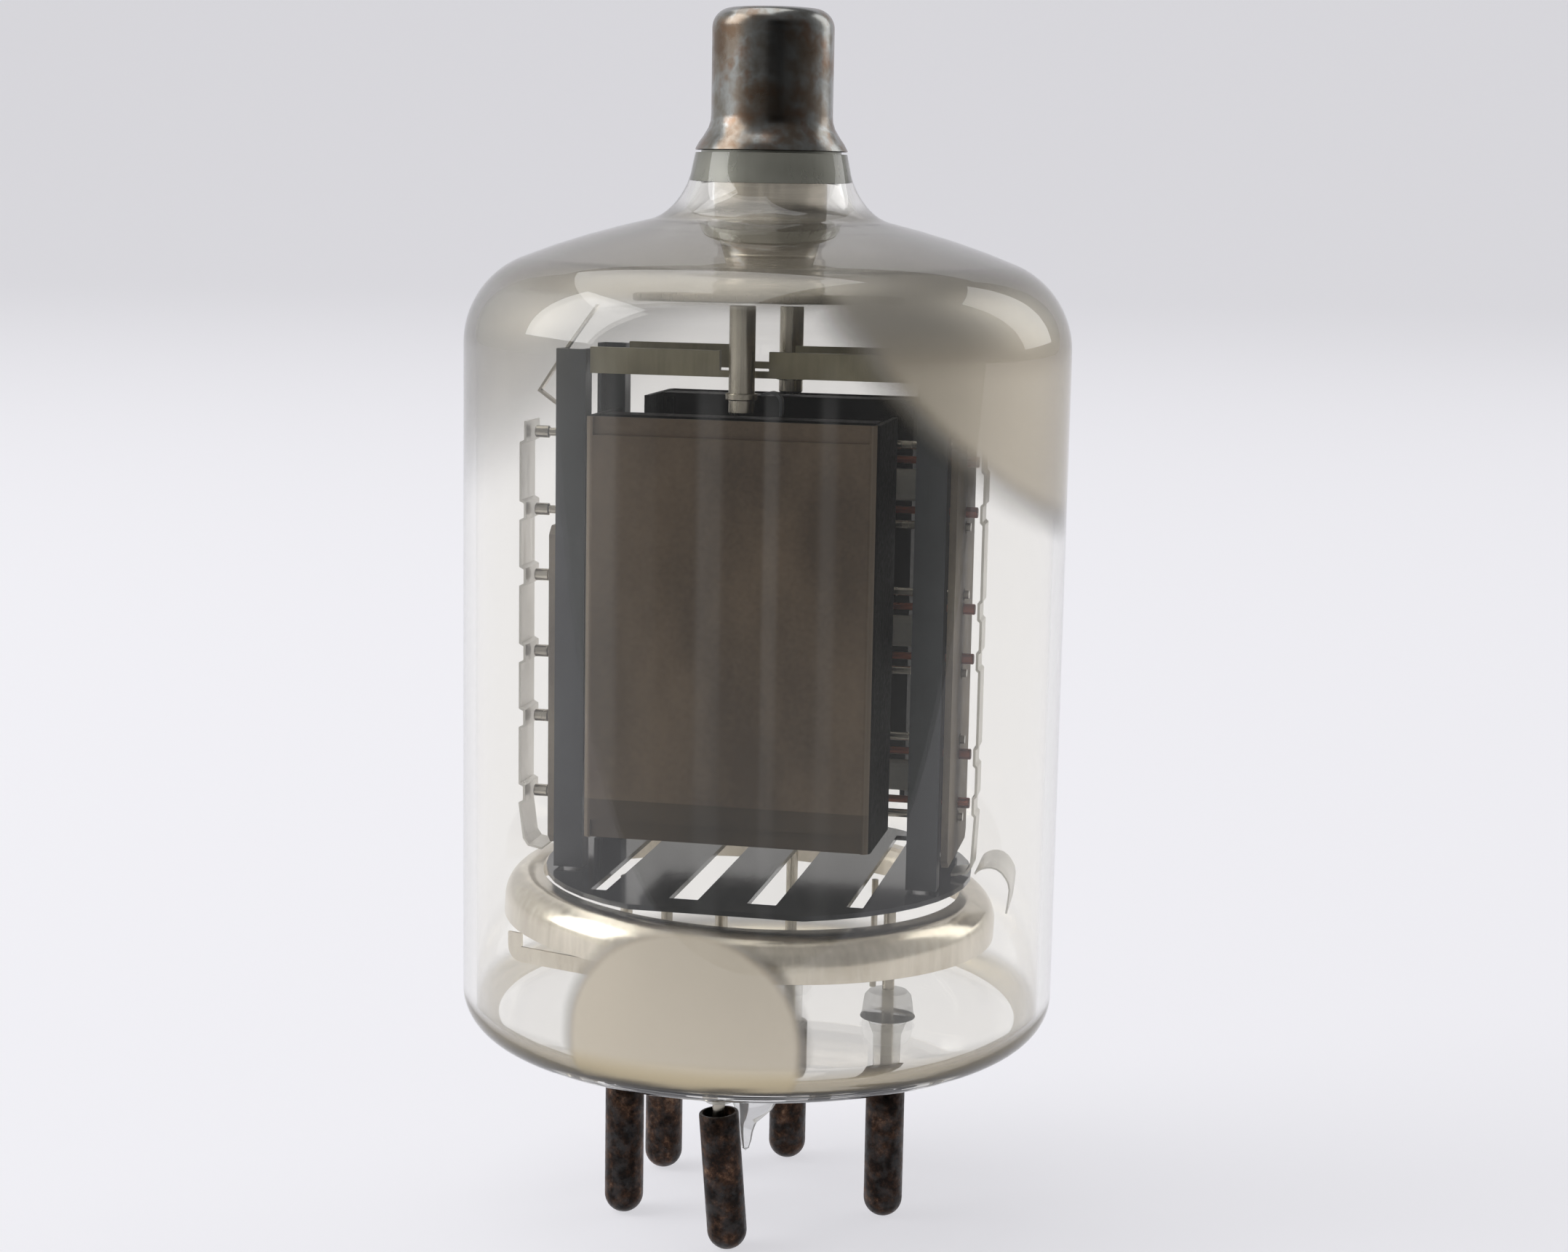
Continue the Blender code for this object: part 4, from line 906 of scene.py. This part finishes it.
# %% White paper sweep
sweep_size = 6
bend_radius, bend_steps = 1.5, 12
wall_height = 3
table_edge = -0.15

only()
bpy.ops.mesh.primitive_plane_add(size=sweep_size)
sweep = bpy.context.object
sweep.name = "sweep"
picked(sweep, lambda place: place.y > 0)
bend = arc((0, bend_radius), bend_radius, -90, 0, bend_steps)
for (near, low), (far, high) in zip(bend, bend[1:]):
    bpy.ops.mesh.extrude_region_move(TRANSFORM_OT_translate={"value": (0, far - near, high - low)})
bpy.ops.mesh.extrude_region_move(TRANSFORM_OT_translate={"value": (0, 0, wall_height)})
bpy.ops.mesh.select_all(action="SELECT")
bpy.ops.mesh.normals_make_consistent(inside=False)
# the table ends well before the camera, so that the glass mirrors the darker room there instead of white
# paper
picked(sweep, lambda place: place.y < 0)
bpy.ops.transform.translate(value=(0, sweep_size / 2 + table_edge, 0))
only(sweep)
bpy.ops.object.shade_smooth()
paper = new_material("white_paper_sweep")
# paper that is lit right round looks as pale near the table as far away, so for every ray that shows it
# directly, in a mirror or through glass it mostly glows evenly, and only the rest takes the lamps' light
# and shadow
paper_glow = 0.62
lit = add(paper, "BsdfDiffuse", Color=paint("f1f1f6"))
even = add(paper, "Emission", Color=paint("fbfaff"), Strength=1.0)
rays = add(paper, "LightPath").outputs
bent = add(paper, "Math", rays["Is Glossy Ray"], rays["Is Transmission Ray"], operation="MAXIMUM")
seen = add(paper, "Math", rays["Is Camera Ray"], bent, operation="MAXIMUM")
glow = add(paper, "Math", seen, paper_glow, operation="MULTIPLY")
add(paper, "OutputMaterial", add(paper, "MixShader", glow, lit, even))
sweep.data.materials.append(paper)
sweep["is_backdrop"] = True
print("sweep", len(sweep.data.polygons), "faces")

# %% Soft studio light
lamp_target = Vector((0, 0, 70 * mm))


def soft_box(name, place, size, power):
    """A rectangular lamp that looks at the middle of the tube."""
    light = bpy.data.lights.new(name, "AREA")
    light.shape = "RECTANGLE"
    light.size, light.size_y = size
    light.energy = power
    box = bpy.data.objects.new(name, light)
    box.location = place
    box.rotation_euler = (lamp_target - Vector(place)).to_track_quat("-Z", "Y").to_euler()
    scene.collection.objects.link(box)


soft_box("window_left", (-1.4, -0.1, 0.95), (1.0, 1.2), 12)
soft_box("window_right", (1.5, 0.9, 0.9), (0.8, 1.4), 5)
soft_box("ceiling", (-0.6, 0.3, 2.1), (2.0, 2.0), 20)

# %% [markdown]
# The room behind the camera is darker than the table, above all where the photographer stands, a little to
# the right of the camera. Bright metal shows it as the dark band down the middle of the cap. A window on
# the left is the brightest part. The walls' levels run round the tube from behind it over the left, the
# camera and the right, by bearing in degrees. Those of the stands are the legs of stools and lamps below
# the horizon: their narrow steps give the upright streaks in the glass. Further down the room turns into
# the pale table.

# %% Room around the table
walls = ((-180, 0.7), (-110, 0.8), (-75, 1.0), (-50, 0.35), (-30, 0.2), (-18, 0.16), (-4, 0.01), (18, 0.01),
         (30, 0.06), (48, 0.09), (80, 0.22), (110, 0.6), (180, 0.7))
stands = ((-75, 1.0), (-58, 0.9), (-56, 0.3), (-42, 0.2), (-40, 0.06), (-26, 0.06), (-24, 0.55),
          (-17, 0.45), (-15, 0.03), (-1, 0.01), (0, 0.5), (4, 0.5), (5, 0.02), (19, 0.02), (21, 0.4),
          (25, 0.4), (27, 0.05), (50, 0.12), (80, 0.4))
ceiling_level, table_level = 0.2, 0.75
room_strength = 0.85

world = bpy.data.worlds.new("room")
scene.world = world
world.use_nodes = True
world.node_tree.nodes.clear()
split = add(world, "SeparateXYZ", add(world, "TexCoord").outputs["Generated"]).outputs
forward = add(world, "Math", split["Y"], -1.0, operation="MULTIPLY")
bearing = add(world, "Math", split["X"], forward, operation="ARCTAN2")
share = add(world, "MapRange", bearing, -pi, pi)
around, below = [
    add(world, "ValToRGB", share, stops=[((turn + 180) / 360, grey(tone)) for turn, tone in tones])
    for tones in (walls, stands)
]
high_up = add(world, "MapRange", split["Z"], 0.4, 0.75, **soft_step)
under = add(world, "MapRange", split["Z"], -0.02, -0.06, **soft_step)
deep = add(world, "MapRange", split["Z"], -0.3, -0.1, 0.6, 0, **soft_step)
room = add(world, "Mix", high_up, around, grey(ceiling_level), data_type="RGBA")
room = add(world, "Mix", under, room, below, data_type="RGBA")
room = add(world, "Mix", deep, room, grey(table_level), data_type="RGBA")
# straight on, the backdrop is seen, the same pale grey as the paper. Through glass it counts less than
# half, as such a ray may also have met the metal inside, which has to mirror the darker room
rays = add(world, "LightPath").outputs
through = add(world, "Math", rays["Is Transmission Ray"], 0.4, operation="MULTIPLY")
direct = add(world, "Math", rays["Is Camera Ray"], through, operation="MAXIMUM")
backdrop = add(world, "Background", Color=paint("e9e9ed"), Strength=1.0)
background = add(world, "Background", Color=room, Strength=room_strength)
add(world, "OutputWorld", add(world, "MixShader", direct, background, backdrop))

# %% [markdown]
# ## Last step
# The size of the finished model's box is printed.

# %% Sizes and finish
low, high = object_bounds()
print("visual box:", [round(v, 4) for v in high - low])
